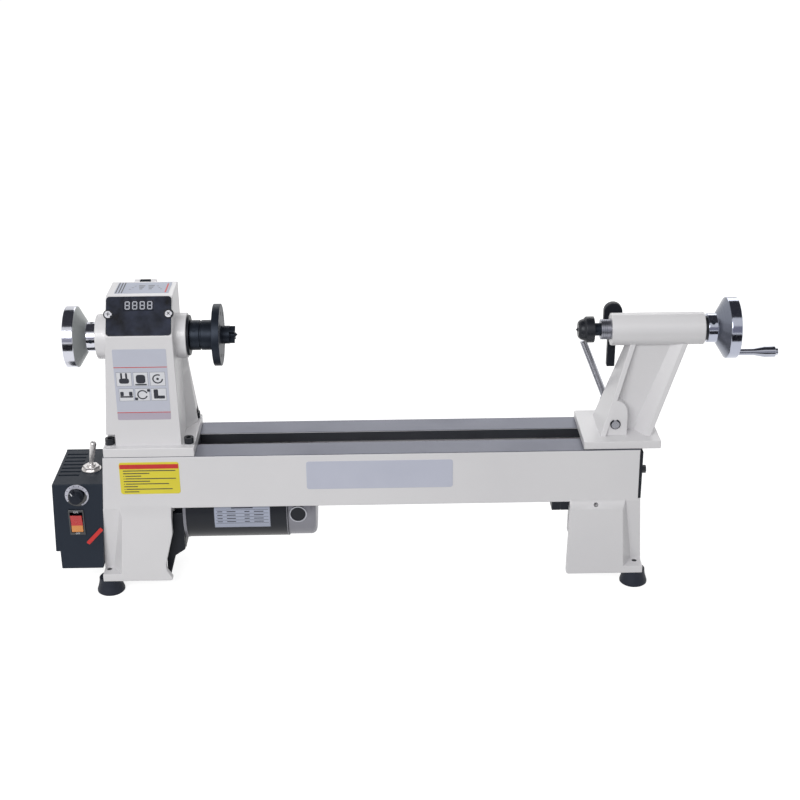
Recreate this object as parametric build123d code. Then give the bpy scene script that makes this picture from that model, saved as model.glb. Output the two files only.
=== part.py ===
from build123d import *
import math
import os

# Benchtop bead-turning lathe, in millimetres.
# X runs along the bed from the headstock to the tailstock, Y runs from front to rear and Z is up.
# The origin lies on the bench, below the middle of the bed and the spindle line.

# Fits
fit = 0.03
run = 0.08
air = 0.5

# Bed and legs
bed_length = 720.0
bed_width = 112.0
bed_height = 77.0
way_thickness = 15.0
bed_wall = 10.0
slot_width = 34.0
leg_height = 108.0
leg_wall = 9.0
leg_bulge = 8.0
leg_shoulder = 14.0
leg_shoulder_rise = 4.0
leg_corner_r = 3.0
left_leg_width = 86.5
left_notch_depth = 11.8
left_notch_top = 72.0
left_notch_high = 26.0
left_notch_low = 16.0
left_notch_r = 14.0
left_toe_in = 1.9
right_leg_width = 92.5
right_leg_rear_width = 76.0
right_toe_out = 2.0
leg_strip_width = 20.5
left_panel_flare = 8.6
right_panel_flare = 5.2
strip_draft = 16.0
strip_lean = 15.0
end_slope = 0.077
ledge_thickness = 11.0
ledge_inset = 1.0
ledge_depth = 36.0
rib_thickness = 8.0
rib_height = 28.0
rib_places = (0.0, 130.0)
front_hole_r = 3.25
front_hole_depth = 12.0
front_hole_inset = 57.2

# Feet
foot_height = 22.0
foot_top_r = 15.0
foot_base_r = 19.0
left_foot_overhang = 6.5
right_foot_overhang = 2.0
foot_inset = 8.0
stud_r = 3.5
stud_head_r = 9.0
stud_head_height = 4.0
stud_recess = 6.0

# End plate, tie bar and their bolts
end_plate_thickness = 3.8
end_plate_margin = 3.5
tie_bar_width = 23.0
tie_bar_thickness = 13.0
tie_bar_margin = 2.0
bolt_r = 3.0
bolt_head_r = 5.5
bolt_head_height = 8.0
bolt_length = 14.0
plate_bolt_drop = 38.0
plate_bolt_y = 37.0

# Headstock
centre_height = 152.0
head_inset = 60.0
head_base_left = 58.5
head_base_right = 62.5
head_base_height = 13.0
column_foot_left = 55.5
column_foot_right = 45.5
column_foot_rear = 54.0
flank_spread = 13.5
flank_bend_foot = 5.0
flank_bend_head = 25.0
flank_edge_foot = 30.0
flank_edge_head = 37.0
flare_height = 93.0
head_half_width = 43.5
head_front = 46.5
head_rear = 41.0
head_wall = 9.0
panel_low_height = 168.0
panel_top_height = 214.0
panel_top_setback = 29.5
boss_r = 30.0
boss_left = 61.0
boss_right = 58.0
well_left = 30.0
well_right = 28.0
well_half_depth = 39.0
cap_screw_r = 4.0
cap_head_r = 6.3
cap_head_height = 8.0
cap_socket_r = 3.4
cap_screw_length = 22.0
cap_left = 50.5
cap_right = 55.0
cap_inset = 14.0
pocket_r = 9.0
pocket_height = 16.0
washer_r = 7.4
washer_thickness = 1.6

# Display
panel_thickness = 2.4
panel_edge = 1.2
readout_width = 38.5
readout_height = 13.5
readout_rise = 14.0
readout_thickness = 0.8
panel_screw_r = 2.0
panel_screw_head_r = 4.8
panel_screw_head_height = 2.6
panel_screw_length = 7.0
panel_screw_x = 39.0
panel_screw_rise = 2.5

# Rear belt door
door_thickness = 3.0
door_margin = 7.0
door_half_opening = 27.0
door_opening_low = 45.0
door_opening_high = 38.0
hinge_r = 3.6
hinge_pin_r = 1.8
hinge_offset = 4.4
hinge_drop = 2.0
hinge_knuckle = 14.0
hinge_lug = 7.0
door_knob_r = 5.5
door_knob_length = 9.0
door_knob_stud_r = 2.5

# Spindle and its bearings
spindle_r = 12.5
spindle_shoulder = 1.5
spindle_bore_r = 5.0
spindle_left = 86.0
nose_seat = 1.5
bearing_r = 23.5
bearing_width = 12.0
ring_thickness = 3.2
ball_r = 3.0
ball_count = 10
cover_r = 27.0
cover_thickness = 3.0
cover_gap = 1.5
morse_mouth_r = 8.9
morse_taper = 0.025
morse_depth = 54.0

# Pulleys and belt
pulley_step_r = (18.0, 24.0, 30.0)
pulley_step_width = 10.0
pulley_collar = 4.0
belt_width = 8.0
belt_thickness = 2.5
belt_gap = 0.3
belt_offset = -1.0

# Faceplate and spur centre
faceplate_r = 41.25
faceplate_thickness = 10.0
faceplate_hub_r = 20.0
faceplate_hub_length = 31.0
faceplate_groove = 1.5
faceplate_groove_inset = 13.0
faceplate_hole_r = 2.6
faceplate_pcd = 60.0
faceplate_holes = 8
spur_head_r = 12.0
spur_head_length = 10.5
spur_tooth_length = 7.0
spur_tooth_thickness = 3.0
spur_point_length = 10.5
spur_point_r = 4.5
spur_neck_r = 9.0

# Handwheels
wheel_hub_r = 19.5
wheel_hub_length = 12.0
wheel_cone_length = 13.5
wheel_rim_r = 41.0
wheel_rim_width = 14.0
wheel_rim_wall = 13.0
wheel_floor = 7.0
wheel_gap = 1.0
set_screw_r = 2.6
set_screw_inset = 6.0

# Motor and its plate
motor_z = 110.0
motor_r = 47.5
motor_can_length = 139.5
motor_ring_thickness = 4.0
motor_ring_r = 48.2
motor_cap_length = 38.0
motor_cap_r = 46.0
motor_cap_round = 8.0
motor_shaft_r = 7.0
motor_collar_r = 10.0
motor_plate_left = 28.5
motor_plate_thickness = 12.5
motor_plate_r = 43.0
motor_pivot_y = 54.0
motor_pivot_r = 5.0
motor_pivot_length = 22.0
motor_eye_r = 10.0
brush_cap_r = 10.0
brush_cap_height = 3.0
brush_cap_inset = 24.5
brush_cap_rise = 3.0
lever_thickness = 8.0
lever_front = 44.0
lever_rise = 6.0
lever_lobe_rise = 40.3
lever_elbow_left = 1.9
lever_elbow_rise = 31.0
lever_arm_left = 14.0
lever_tip_left = 10.5
lever_tip_width = 4.5
lever_low = 19.0

# Control box
box_depth = 112.0
box_reach = 71.5
box_drop = 39.0
box_height = 129.0
box_flare = 4.2
box_step_rise = 27.0
box_step = 5.7
box_wall = 3.0
box_cover_thickness = 3.0
box_boss_r = 5.0
box_boss_inset = 7.0
box_boss_length = 10.0
louvre_count = 7
louvre_pitch = 11.0
louvre_width = 4.0
louvre_length = 28.0
louvre_inset = 4.0
louvre_centre = 6.0
dial_out = 39.0
dial_drop = 16.0
dial_r = 16.0
dial_thickness = 0.8
pot_r = 8.0
pot_depth = 9.0
pot_bush_r = 4.0
pot_shaft_r = 3.0
pot_shaft_end = 3.0
knob_r = 10.0
knob_length = 12.0
knob_gap = 1.5
rocker_out = 42.6
rocker_drop = 56.5
bezel_width = 21.0
bezel_height = 38.0
bezel_thickness = 2.0
bezel_depth = 12.0
bezel_lip = 1.5
rocker_width = 15.6
rocker_height = 27.0
rocker_gap = 1.6
rocker_angle = 7.0
rocker_rise = 2.0
rocker_dip = 1.8
rocker_pivot_depth = 4.0
rocker_shoulder = 5.4
rocker_pin_r = 1.5
rocker_pin_out = 1.5
toggle_out = 26.0
toggle_y = -8.5
toggle_bush_r = 6.0
toggle_bush_rise = 2.5
toggle_washer_r = 13.3
toggle_washer_thickness = 1.5
toggle_nut_r = 11.5
toggle_nut_height = 4.0
toggle_body_size = 14.0
toggle_body_depth = 16.0
toggle_lever_length = 36.5
toggle_lean = 9.5
toggle_tip_r = 4.6
toggle_neck_r = 2.6
toggle_ball_r = 4.0
toggle_pin_r = 1.0
toggle_pin_out = 1.2
gland_r = 9.0
gland_length = 14.0
gland_bore_r = 4.0
gland_thread_r = 7.0
gland_out = 40.0
gland_drop = 106.0

# Tailstock
centre_distance = 450.0
tail_base_left = 44.0
tail_base_right = 59.5
tail_base_half = 53.5
tail_base_height = 11.0
tenon_height = 4.0
tenon_left = 38.0
tenon_right = 27.0
tail_foot_left = 20.0
tail_foot_right = 48.5
tail_foot_half = 36.0
tail_top_half = 9.0
tail_top_left = 23.3
tail_top_right = 101.8
tail_rib = 7.0
tail_rib_draft = 14.0
tail_foot_web = 13.0
tail_top_web = 5.0
barrel_r = 21.75
barrel_left = 8.0
barrel_right = 116.0
barrel_end_wall = 5.0
quill_r = 13.5
quill_out = 13.5
quill_length = 123.5
lead_screw_r = 6.0
lead_screw_room = 5.0
lead_screw_play = 10.0
lead_collar_r = 16.0
lead_collar_thickness = 3.4
lead_tail_length = 22.0
centre_neck_r = 8.5
centre_neck_length = 8.5
centre_head_r = 17.5
centre_head_length = 14.0
centre_nose_r = 13.0
centre_nose_length = 7.5
centre_tip_length = 3.0
centre_tip_r = 3.0
centre_pin_r = 6.0
centre_pin_length = 10.0
crank_radius = 33.0
crank_angle = 25.0
crank_neck_r = 4.4
crank_neck_length = 22.5
crank_taper_length = 14.5
crank_grip_r = 7.25
crank_grip_length = 51.5
crank_bolt_r = 2.5
crank_head_r = 4.5
crank_head_height = 3.0
crank_bolt_depth = 9.0

# Tailstock locks
lock_hub_r = 12.5
lock_boss_r = 7.0
lock_reach = 1.0
lock_front = 30.0
lock_thickness = 10.0
lock_arm_width = 11.0
lock_arm_length = 66.0
lock_screw_r = 4.0
lock_dome = 13.0
cam_height = 27.0
cam_shaft_r = 5.5
cam_boss_r = 10.5
cam_pad_r = 16.5
cam_pad_rise = 15.5
cam_pad_front = 31.5
cam_front_end = 34.5
cam_head_r = 9.0
cam_head_thickness = 14.0
cam_head_front = 39.0
cam_throw = 1.2
cam_start_angle = 50.0
cam_sweep = 80.0
cam_width = 9.0
cam_rod_r = 4.75
cam_rod_length = 90.0
cam_rod_angle = 22.0
cam_rod_spigot_r = 3.0
cam_rod_spigot = 6.0
cam_web = 0.3
eye_wall = 2.6
eye_room = 1.0
eye_slack = 0.1
clamp_bolt_r = 5.0
clamp_plate_length = 60.0
clamp_plate_width = 52.0
clamp_plate_thickness = 12.0
clamp_room = 0.1
clamp_nut_r = 9.0
clamp_nut_height = 9.0
clamp_bolt_tail = 4.0

# Levels and places that follow
half_bed = bed_length / 2
half_width = bed_width / 2
leg_bottom = foot_height
bed_bottom = leg_bottom + leg_height
bed_top = bed_bottom + bed_height
way_bottom = bed_top - way_thickness
axis_z = bed_top + centre_height
cavity_half = half_width - bed_wall
panel_y = half_width + leg_bulge
head_x = -half_bed + head_inset
belt_x = head_x + belt_offset
faceplate_x = head_x + boss_right + cover_thickness + air
faceplate_front = faceplate_x + faceplate_hub_length + faceplate_thickness
nose_x = faceplate_x + faceplate_hub_length + nose_seat
spur_tip_x = faceplate_front + spur_head_length + spur_point_length
live_tip_x = spur_tip_x + centre_distance
centre_length = centre_tip_length + centre_nose_length + centre_head_length + centre_neck_length
quill_end_x = live_tip_x + centre_length
tail_x = quill_end_x + quill_out + barrel_left
box_top = bed_top - box_drop
box_low = box_top - box_height
box_front = -box_depth / 2
cam_z = bed_top + cam_height
plate_x = belt_x + motor_plate_left
nodes = {}


def block(x0, x1, y0, y1, z0, z1):
    """Return the box between two opposite corners."""
    middle = Pos((x0 + x1) / 2, (y0 + y1) / 2, (z0 + z1) / 2)
    return middle * Box(abs(x1 - x0), abs(y1 - y0), abs(z1 - z0))


def rod_x(r, x0, x1, y=0.0, z=0.0):
    """Return a round bar along X."""
    return Pos((x0 + x1) / 2, y, z) * Rot(0, 90, 0) * Cylinder(r, abs(x1 - x0))


def rod_y(r, y0, y1, x=0.0, z=0.0):
    """Return a round bar along Y."""
    return Pos(x, (y0 + y1) / 2, z) * Rot(90, 0, 0) * Cylinder(r, abs(y1 - y0))


def rod_z(r, z0, z1, x=0.0, y=0.0):
    """Return a round bar along Z."""
    return Pos(x, y, (z0 + z1) / 2) * Cylinder(r, abs(z1 - z0))


def prism_y(outline, y0, y1):
    """Return an (x, z) outline drawn out along Y."""
    face = make_face(Polyline(*[(x, y0, z) for x, z in outline], close=True))
    return extrude(face, amount=y1 - y0, dir=(0, 1, 0))


def prism_x(outline, x0, x1):
    """Return a (y, z) outline drawn out along X."""
    face = make_face(Polyline(*[(x0, y, z) for y, z in outline], close=True))
    return extrude(face, amount=x1 - x0, dir=(1, 0, 0))


def turned_x(profile, z, y=0.0):
    """Return an (x, radius) profile turned about a line along X."""
    face = make_face(Polyline(*[(x, y, z + r) for x, r in profile], close=True))
    return revolve(face, Axis((0, y, z), (1, 0, 0)))


def turned_z(profile, x, y):
    """Return a (z, radius) profile turned about a line along Z."""
    face = make_face(Polyline(*[(x + r, y, z) for z, r in profile], close=True))
    return revolve(face, Axis((x, y, 0), (0, 0, 1)))


def slab(x0, x1, y0, y1, z):
    """Return a flat rectangle at one level, for a taper."""
    return make_face(Polyline((x0, y0, z), (x1, y0, z), (x1, y1, z), (x0, y1, z), close=True))


def taper(low, high):
    """Return the straight-sided body between two rectangles."""
    return loft([low, high], ruled=True)


def hexagon_x(r, x0, x1, y, z):
    """Return a hexagon bar along X."""
    corners = [math.radians(60 * k) for k in range(6)]
    return prism_x([(y + r * math.cos(a), z + r * math.sin(a)) for a in corners], x0, x1)


def hexagon_z(r, z0, z1, x, y):
    """Return a hexagon bar along Z."""
    corners = [math.radians(60 * k) for k in range(6)]
    points = [(x + r * math.cos(a), y + r * math.sin(a), z0) for a in corners]
    return extrude(make_face(Polyline(*points, close=True)), amount=z1 - z0, dir=(0, 0, 1))


def group(pieces):
    """Return separate solids held as one node."""
    return Compound(children=list(pieces))


def leg_end(side, z):
    """Return where the end face of the left (-1) or right (1) leg lies at one level."""
    if side < 0:
        return -half_bed - end_slope * (bed_top - z)
    return half_bed + end_plate_thickness + end_slope * (bed_bottom - z)


def leg_end_box(side, inner_x, wall):
    """Return the leaning end of a leg, drawn in by a wall."""
    low = leg_bottom - wall
    high = bed_bottom + leg_shoulder_rise
    outline = [
        (inner_x, low),
        (leg_end(side, low) - side * wall, low),
        (leg_end(side, high) - side * wall, high),
        (inner_x, high),
    ]
    top_half = half_width - wall
    low_half = top_half - strip_lean
    across = [(-top_half, high), (top_half, high), (low_half, low), (-low_half, low)]
    reach = (min(x for x, z in outline), max(x for x, z in outline))
    return prism_y(outline, -top_half, top_half) & prism_x(across, *reach)


def leg_inner_edge(side, face, bend):
    """Return the inner edge of one leg panel, as corners from its shoulder down and their rounding."""
    if side > 0:
        x = half_bed - (right_leg_width if face < 0 else right_leg_rear_width)
        return [(x, bend), (x - right_toe_out, leg_bottom)], [0.0, leg_corner_r]
    x = left_leg_width - half_bed
    notch_x = x - left_notch_depth
    corners = [
        (x, bend),
        (x, leg_bottom + left_notch_top),
        (notch_x, leg_bottom + left_notch_high),
        (notch_x, leg_bottom + left_notch_low),
        (x - left_toe_in, leg_bottom),
    ]
    return corners, [0.0, left_notch_r, left_notch_r, left_notch_r, leg_corner_r]


def leg_flank(side, face, low_x, strip_x):
    """Return the sloping outer side of one leg panel, which runs back to the leaning end."""
    high = bed_bottom + leg_shoulder_rise
    bend = high - leg_shoulder
    base = half_width - strip_lean - air * 4
    web_in = base - leg_wall
    web_x = strip_x - side * leg_wall
    high_x = strip_x - (low_x - strip_x) * (high - bend) / (bend - leg_bottom)
    levels = []
    for x, z in ((low_x, leg_bottom), (high_x, high)):
        base_x = x + side * strip_draft
        corners = [(web_x, web_in), (base_x, web_in), (base_x, base), (x, panel_y), (web_x, panel_y)]
        levels.append(make_face(Polyline(*[(x, face * y, z) for x, y in corners], close=True)))
    profile = [
        (web_in, leg_bottom),
        (panel_y, leg_bottom),
        (panel_y, bend),
        (half_width, high),
        (cavity_half, high),
        (web_in, bend),
    ]
    reach = sorted((web_x, low_x + side * strip_draft))
    return taper(*levels) & prism_x([(face * y, z) for y, z in profile], *reach)


def leg(side):
    """Return the hollow left (-1) or right (1) leg: two panels, the leaning end and the foot ledges."""
    flare = left_panel_flare if side < 0 else right_panel_flare
    strip_x = side * (half_bed - leg_strip_width)
    low_x = strip_x + side * flare
    web_x = strip_x - side * leg_wall
    high = bed_bottom + leg_shoulder_rise
    bend = high - leg_shoulder
    panel_in = panel_y - leg_wall
    pieces = [leg_end_box(side, web_x, 0.0) - leg_end_box(side, 0.0, leg_wall)]
    for face in (-1, 1):
        inner, rounding = leg_inner_edge(side, face, bend)
        inner_x = inner[0][0]
        panel = prism_y([(strip_x, bend)] + inner + [(low_x, leg_bottom)], face * panel_in, face * panel_y)
        for (x, z), r in zip(inner, rounding):
            if r > 0:
                corner = panel.edges().filter_by(Axis.Y).sort_by_distance((x, face * panel_y, z))[0]
                panel = fillet(corner, r)
        pieces.append(panel)
        roof = [
            (face * cavity_half, bed_bottom + leg_shoulder_rise / 2),
            (face * half_width, high),
            (face * panel_y, bend),
            (face * panel_in, bend - leg_wall),
            (face * cavity_half, bed_bottom - leg_wall),
        ]
        pieces.append(prism_x(roof, min(inner_x, strip_x), max(inner_x, strip_x)))
        pieces.append(leg_flank(side, face, low_x, strip_x))
        ledge_end = leg_end(side, leg_bottom) - side * ledge_inset
        ledge_in = face * (panel_y - ledge_depth)
        ledge_top = leg_bottom + ledge_thickness
        pieces.append(block(web_x, ledge_end, ledge_in, face * panel_y, leg_bottom, ledge_top))
    return pieces


def foot_places():
    """Return the four foot centres."""
    y = half_width - foot_inset
    places = (-half_bed - left_foot_overhang, half_bed + right_foot_overhang)
    return [(x, sy * y) for x in places for sy in (-1, 1)]


def make_bed():
    """Add the bed casting, its end plate, tie bar, bolts and feet."""
    outline = [
        (leg_end(-1, bed_bottom), bed_bottom),
        (leg_end(-1, bed_top), bed_top),
        (half_bed, bed_top),
        (half_bed, bed_bottom),
    ]
    bed = prism_y(outline, -half_width, half_width)
    bed -= block(-half_bed + bed_wall, half_bed, -cavity_half, cavity_half, bed_bottom, way_bottom)
    slot_left = head_x + head_base_right
    bed -= block(slot_left, half_bed, -slot_width / 2, slot_width / 2, way_bottom, bed_top)
    well = (head_x - well_left, head_x + well_right, -well_half_depth, well_half_depth)
    bed -= block(*well, way_bottom, bed_top)
    for place in rib_places:
        rib_end = place + rib_thickness
        bed += block(place, rib_end, -cavity_half, cavity_half, bed_bottom, bed_bottom + rib_height)
    for side in (-1, 1):
        for piece in leg(side):
            bed += piece
    plate_bolt_z = bed_top - plate_bolt_drop
    boss_in = half_bed - bolt_length - bolt_r
    for face in (-1, 1):
        boss_y = face * (plate_bolt_y - bolt_head_r)
        bed += block(boss_in, half_bed, boss_y, face * cavity_half, plate_bolt_z - bolt_head_r, way_bottom)
    pivot_left = plate_x - motor_pivot_length - air * 2
    pivot_boss = rod_x(motor_eye_r, pivot_left, plate_x - air * 2, motor_pivot_y, motor_z)
    bed += pivot_boss
    bed -= rod_x(motor_pivot_r + run, pivot_left, plate_x, motor_pivot_y, motor_z)
    bar_left = half_bed - right_leg_width - tie_bar_width - air * 2
    bar_x = bar_left + tie_bar_width / 2
    bar_half = half_width - tie_bar_margin
    bar_bolt_y = half_width - bed_wall / 2
    bar_low = bed_bottom - tie_bar_thickness
    bar = block(bar_left, bar_left + tie_bar_width, -bar_half, bar_half, bar_low, bed_bottom)
    plate = block(
        half_bed, half_bed + end_plate_thickness, -half_width, half_width,
        bed_bottom + leg_shoulder_rise + air, bed_top - end_plate_margin,
    )
    plate_face = half_bed + end_plate_thickness
    bolts = []
    for face in (-1, 1):
        y = face * plate_bolt_y
        hole = rod_x(bolt_r + fit, half_bed - bolt_length, plate_face, y, plate_bolt_z)
        bed -= hole
        plate -= hole
        shank = rod_x(bolt_r, half_bed - bolt_length, plate_face, y, plate_bolt_z)
        head_end = plate_face + bolt_head_height
        bolts.append(shank + hexagon_x(bolt_head_r, plate_face, head_end, y, plate_bolt_z))
        y = face * bar_bolt_y
        hole = rod_z(bolt_r + fit, bar_low, bed_bottom + bolt_length, bar_x, y)
        bed -= hole
        bar -= hole
        bolts.append(rod_z(bolt_r, bar_low + air, bed_bottom + bolt_length, bar_x, y))
    bed -= front_hole()
    cap_end = bed_top + head_base_height + washer_thickness - cap_screw_length
    for x, y in cap_places():
        bed -= rod_z(cap_screw_r + fit, cap_end, bed_top, x, y)
    feet = []
    studs = []
    for x, y in foot_places():
        bed -= rod_z(stud_r + fit, leg_bottom, leg_bottom + ledge_thickness, x, y)
        seat = stud_recess + stud_head_height
        foot = turned_z([(0, 0), (0, foot_base_r), (foot_height, foot_top_r), (foot_height, 0)], x, y)
        foot -= rod_z(stud_head_r + fit, 0, seat, x, y)
        foot -= rod_z(stud_r + fit, seat, foot_height, x, y)
        feet.append(foot)
        head = rod_z(stud_head_r, stud_recess, seat, x, y)
        studs.append(head + rod_z(stud_r, seat, leg_bottom + ledge_thickness - air, x, y))
    seam = Plane.XY.offset(bed_bottom)
    legs = split(bed, bisect_by=seam, keep=Keep.BOTTOM).solids().sort_by(Axis.X)
    nodes["bed_casting"] = split(bed, bisect_by=seam, keep=Keep.TOP)
    nodes["left_leg"] = legs[0]
    nodes["right_leg"] = legs[-1]
    nodes["bed_end_plate"] = plate
    nodes["bed_tie_bar"] = bar
    nodes["bed_bolts"] = group(bolts)
    nodes["rubber_feet"] = group(feet)
    nodes["foot_studs"] = group(studs)


def front_hole():
    """Return the tapped hole square to the sloping shoulder of the right leg's front panel."""
    slope = math.degrees(math.atan2(leg_bulge, leg_shoulder))
    high = bed_bottom + leg_shoulder_rise
    middle = Pos(half_bed - front_hole_inset, -half_width - leg_bulge / 2, high - leg_shoulder / 2)
    return middle * Rot(90 - slope, 0, 0) * Cylinder(front_hole_r, front_hole_depth * 2)


def cap_places():
    """Return the four headstock screw centres."""
    y = half_width - cap_inset
    return [(head_x + x, sy * y) for x in (-cap_left, cap_right) for sy in (-1, 1)]


def column_sides(z):
    """Return the left and right faces of the headstock column at one level."""
    foot = bed_top + head_base_height
    share = (z - foot) / (bed_top + panel_low_height - foot)
    left = column_foot_left + share * (head_half_width - column_foot_left)
    right = column_foot_right + share * (head_half_width - column_foot_right)
    return head_x - left, head_x + right


def display_slope():
    """Return the rise and the length of the slanted display face."""
    rise = panel_top_height - panel_low_height
    return rise, math.hypot(rise, panel_top_setback)


def column_levels():
    """Return the levels at which the column bends, each with its rear face."""
    return [
        (bed_top + head_base_height, column_foot_rear),
        (bed_top + flare_height, head_rear),
        (bed_top + panel_low_height, head_rear),
    ]


def column_flank():
    """Return the right rear corner of the column, which spreads towards the foot."""
    faces = []
    for z, rear in column_levels():
        share = (bed_top + panel_low_height - z) / (panel_low_height - head_base_height)
        left, right = column_sides(z)
        inside = right - head_wall / 2
        outside = right + share * flank_spread
        bend = flank_bend_head + share * (flank_bend_foot - flank_bend_head)
        edge = flank_edge_head + share * (flank_edge_foot - flank_edge_head)
        around = [(inside, bend), (right, bend), (outside, edge), (outside, rear), (inside, rear)]
        faces.append(make_face(Polyline(*[(x, y, z) for x, y in around], close=True)))
    return taper(faces[0], faces[1]) + taper(faces[1], faces[2])


def column_body(wall):
    """Return the headstock column and head, drawn in by a wall."""
    shoulder = bed_top + panel_low_height
    top = bed_top + panel_top_height - wall
    rise, slope_length = display_slope()
    slabs = []
    for z, rear in column_levels():
        left, right = column_sides(z)
        slabs.append(slab(left + wall, right - wall, wall - head_front, rear - wall, z))
    body = taper(slabs[0], slabs[1]) + taper(slabs[1], slabs[2])
    slant = [(wall * slope_length + panel_top_setback * (z - shoulder)) / rise for z in (shoulder, top)]
    outline = [
        (slant[0] - head_front, shoulder),
        (slant[1] - head_front, top),
        (head_rear - wall, top),
        (head_rear - wall, shoulder),
    ]
    half = head_half_width - wall
    return body + prism_x(outline, head_x - half, head_x + half)


def display_plane():
    """Return the plane of the slanted display face, with its own Y up the slope."""
    rise, slope_length = display_slope()
    middle = (head_x, panel_top_setback / 2 - head_front, bed_top + panel_low_height + rise / 2)
    normal = (0, -rise / slope_length, panel_top_setback / slope_length)
    return Plane(origin=middle, x_dir=(1, 0, 0), z_dir=normal)


def make_headstock():
    """Add the headstock casting, its screws and the rear belt door."""
    foot = bed_top + head_base_height
    outer = column_body(0.0) + column_flank()
    left_face = head_x - boss_left
    right_face = head_x + boss_right
    base = (head_x - head_base_left, head_x + head_base_right, -half_width, half_width)
    casting = block(*base, bed_top, foot)
    casting += outer
    casting += rod_x(boss_r, left_face, right_face, 0, axis_z)
    casting -= column_body(head_wall)
    post_r = pocket_r + head_wall / 2
    for x, y in cap_places():
        casting += rod_z(post_r, foot, foot + pocket_height + head_wall / 2, x, y) & outer
    well = (head_x - well_left, head_x + well_right, -well_half_depth, well_half_depth)
    casting -= block(*well, bed_top, foot)
    casting -= rod_x(bearing_r - ring_thickness, left_face, right_face, 0, axis_z)
    casting -= rod_x(bearing_r + fit, left_face, left_face + bearing_width, 0, axis_z)
    casting -= rod_x(bearing_r + fit, right_face - bearing_width, right_face, 0, axis_z)
    opening_low = axis_z - door_opening_low
    opening_high = axis_z + door_opening_high
    casting -= block(
        head_x - door_half_opening, head_x + door_half_opening,
        head_rear - head_wall * 2, head_rear + head_wall, opening_low, opening_high,
    )
    screws = []
    washers = []
    seat = foot + washer_thickness
    for x, y in cap_places():
        casting -= rod_z(pocket_r, foot, foot + pocket_height, x, y)
        casting -= rod_z(cap_screw_r + fit, bed_top, foot, x, y)
        screw = rod_z(cap_screw_r, seat - cap_screw_length, seat, x, y)
        screw += rod_z(cap_head_r, seat, seat + cap_head_height, x, y)
        screw -= hexagon_z(cap_socket_r, seat + cap_head_height / 2, seat + cap_head_height, x, y)
        screws.append(screw)
        washers.append(rod_z(washer_r, foot, seat, x, y) - rod_z(cap_screw_r + fit, foot, seat, x, y))
    hinge_y = head_rear + hinge_offset
    hinge_z = bed_top + panel_top_height - hinge_drop
    half_knuckle = hinge_knuckle / 2
    hinge_end = half_knuckle + air + hinge_lug
    for side in (-1, 1):
        lug_in = head_x + side * (half_knuckle + air)
        lug_out = head_x + side * hinge_end
        lug = rod_x(hinge_r, lug_in, lug_out, hinge_y, hinge_z)
        lug += block(lug_in, lug_out, head_rear - air, hinge_y, hinge_z - hinge_r, hinge_z)
        casting += lug
    pin_hole = rod_x(hinge_pin_r + fit, head_x - hinge_end, head_x + hinge_end, hinge_y, hinge_z)
    casting -= pin_hole
    half_door = door_half_opening + door_margin
    door_y = head_rear + air
    door_top = hinge_z - hinge_r - air * 3
    door_low = opening_low - door_margin
    knob_seat = door_y + door_thickness
    door = block(head_x - half_door, head_x + half_door, door_y, knob_seat, door_low, door_top)
    knuckle = (head_x - half_knuckle, head_x + half_knuckle)
    door += rod_x(hinge_r, *knuckle, hinge_y, hinge_z)
    door += block(*knuckle, door_y, door_y + door_thickness, door_top - hinge_r, hinge_z)
    door -= rod_x(hinge_pin_r + run, *knuckle, hinge_y, hinge_z)
    knob_z = opening_low + door_margin
    door -= rod_y(door_knob_stud_r + fit, door_y, knob_seat, head_x, knob_z)
    knob = rod_y(door_knob_stud_r, door_y, knob_seat, head_x, knob_z)
    knob += rod_y(door_knob_r, knob_seat, knob_seat + door_knob_length, head_x, knob_z)
    face = display_plane()
    for side in (-1, 1):
        casting -= face * Pos(side * panel_screw_x, panel_screw_rise, 0) * Cylinder(
            panel_screw_r + fit, (panel_screw_length - panel_thickness) * 2
        )
    nodes["headstock_casting"] = casting
    nodes["headstock_screws"] = group(screws)
    nodes["headstock_washers"] = group(washers)
    pin = rod_x(hinge_pin_r, head_x - hinge_end, head_x + hinge_end, hinge_y, hinge_z)
    nodes["belt_door"] = group([door, pin])
    nodes["door_knob"] = knob


def pan_screw():
    """Return a small panel screw that points down, with its seat at Z zero."""
    shank = rod_z(panel_screw_r, -panel_screw_length, 0)
    head = rod_z(panel_screw_head_r, 0, panel_screw_head_height)
    rim = head.edges().filter_by(GeomType.CIRCLE).sort_by(Axis.Z)[-1:]
    return shank + chamfer(rim, panel_screw_head_height / 3)


def make_display():
    """Add the slanted display panel and its readout; return its screws."""
    face = display_plane()
    slope_length = display_slope()[1]
    width = (head_half_width - panel_edge) * 2
    height = slope_length - panel_edge * 2
    panel = Pos(0, 0, panel_thickness / 2) * Box(width, height, panel_thickness)
    recess = Box(readout_width, readout_height, readout_thickness * 2)
    recess = Pos(0, readout_rise, panel_thickness) * recess
    panel -= recess
    screws = []
    for side in (-1, 1):
        place = Pos(side * panel_screw_x, panel_screw_rise, 0)
        panel -= place * rod_z(panel_screw_r + fit, 0, panel_thickness)
        screws.append(face * place * Pos(0, 0, panel_thickness) * pan_screw())
    glass = Box(readout_width - fit * 2, readout_height - fit * 2, readout_thickness)
    nodes["display_panel"] = face * panel
    nodes["digit_readout"] = face * Pos(0, readout_rise, panel_thickness - readout_thickness / 2) * glass
    return screws


def bearing_places():
    """Return the left face of each spindle bearing."""
    return (head_x - boss_left, head_x + boss_right - bearing_width)


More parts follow.
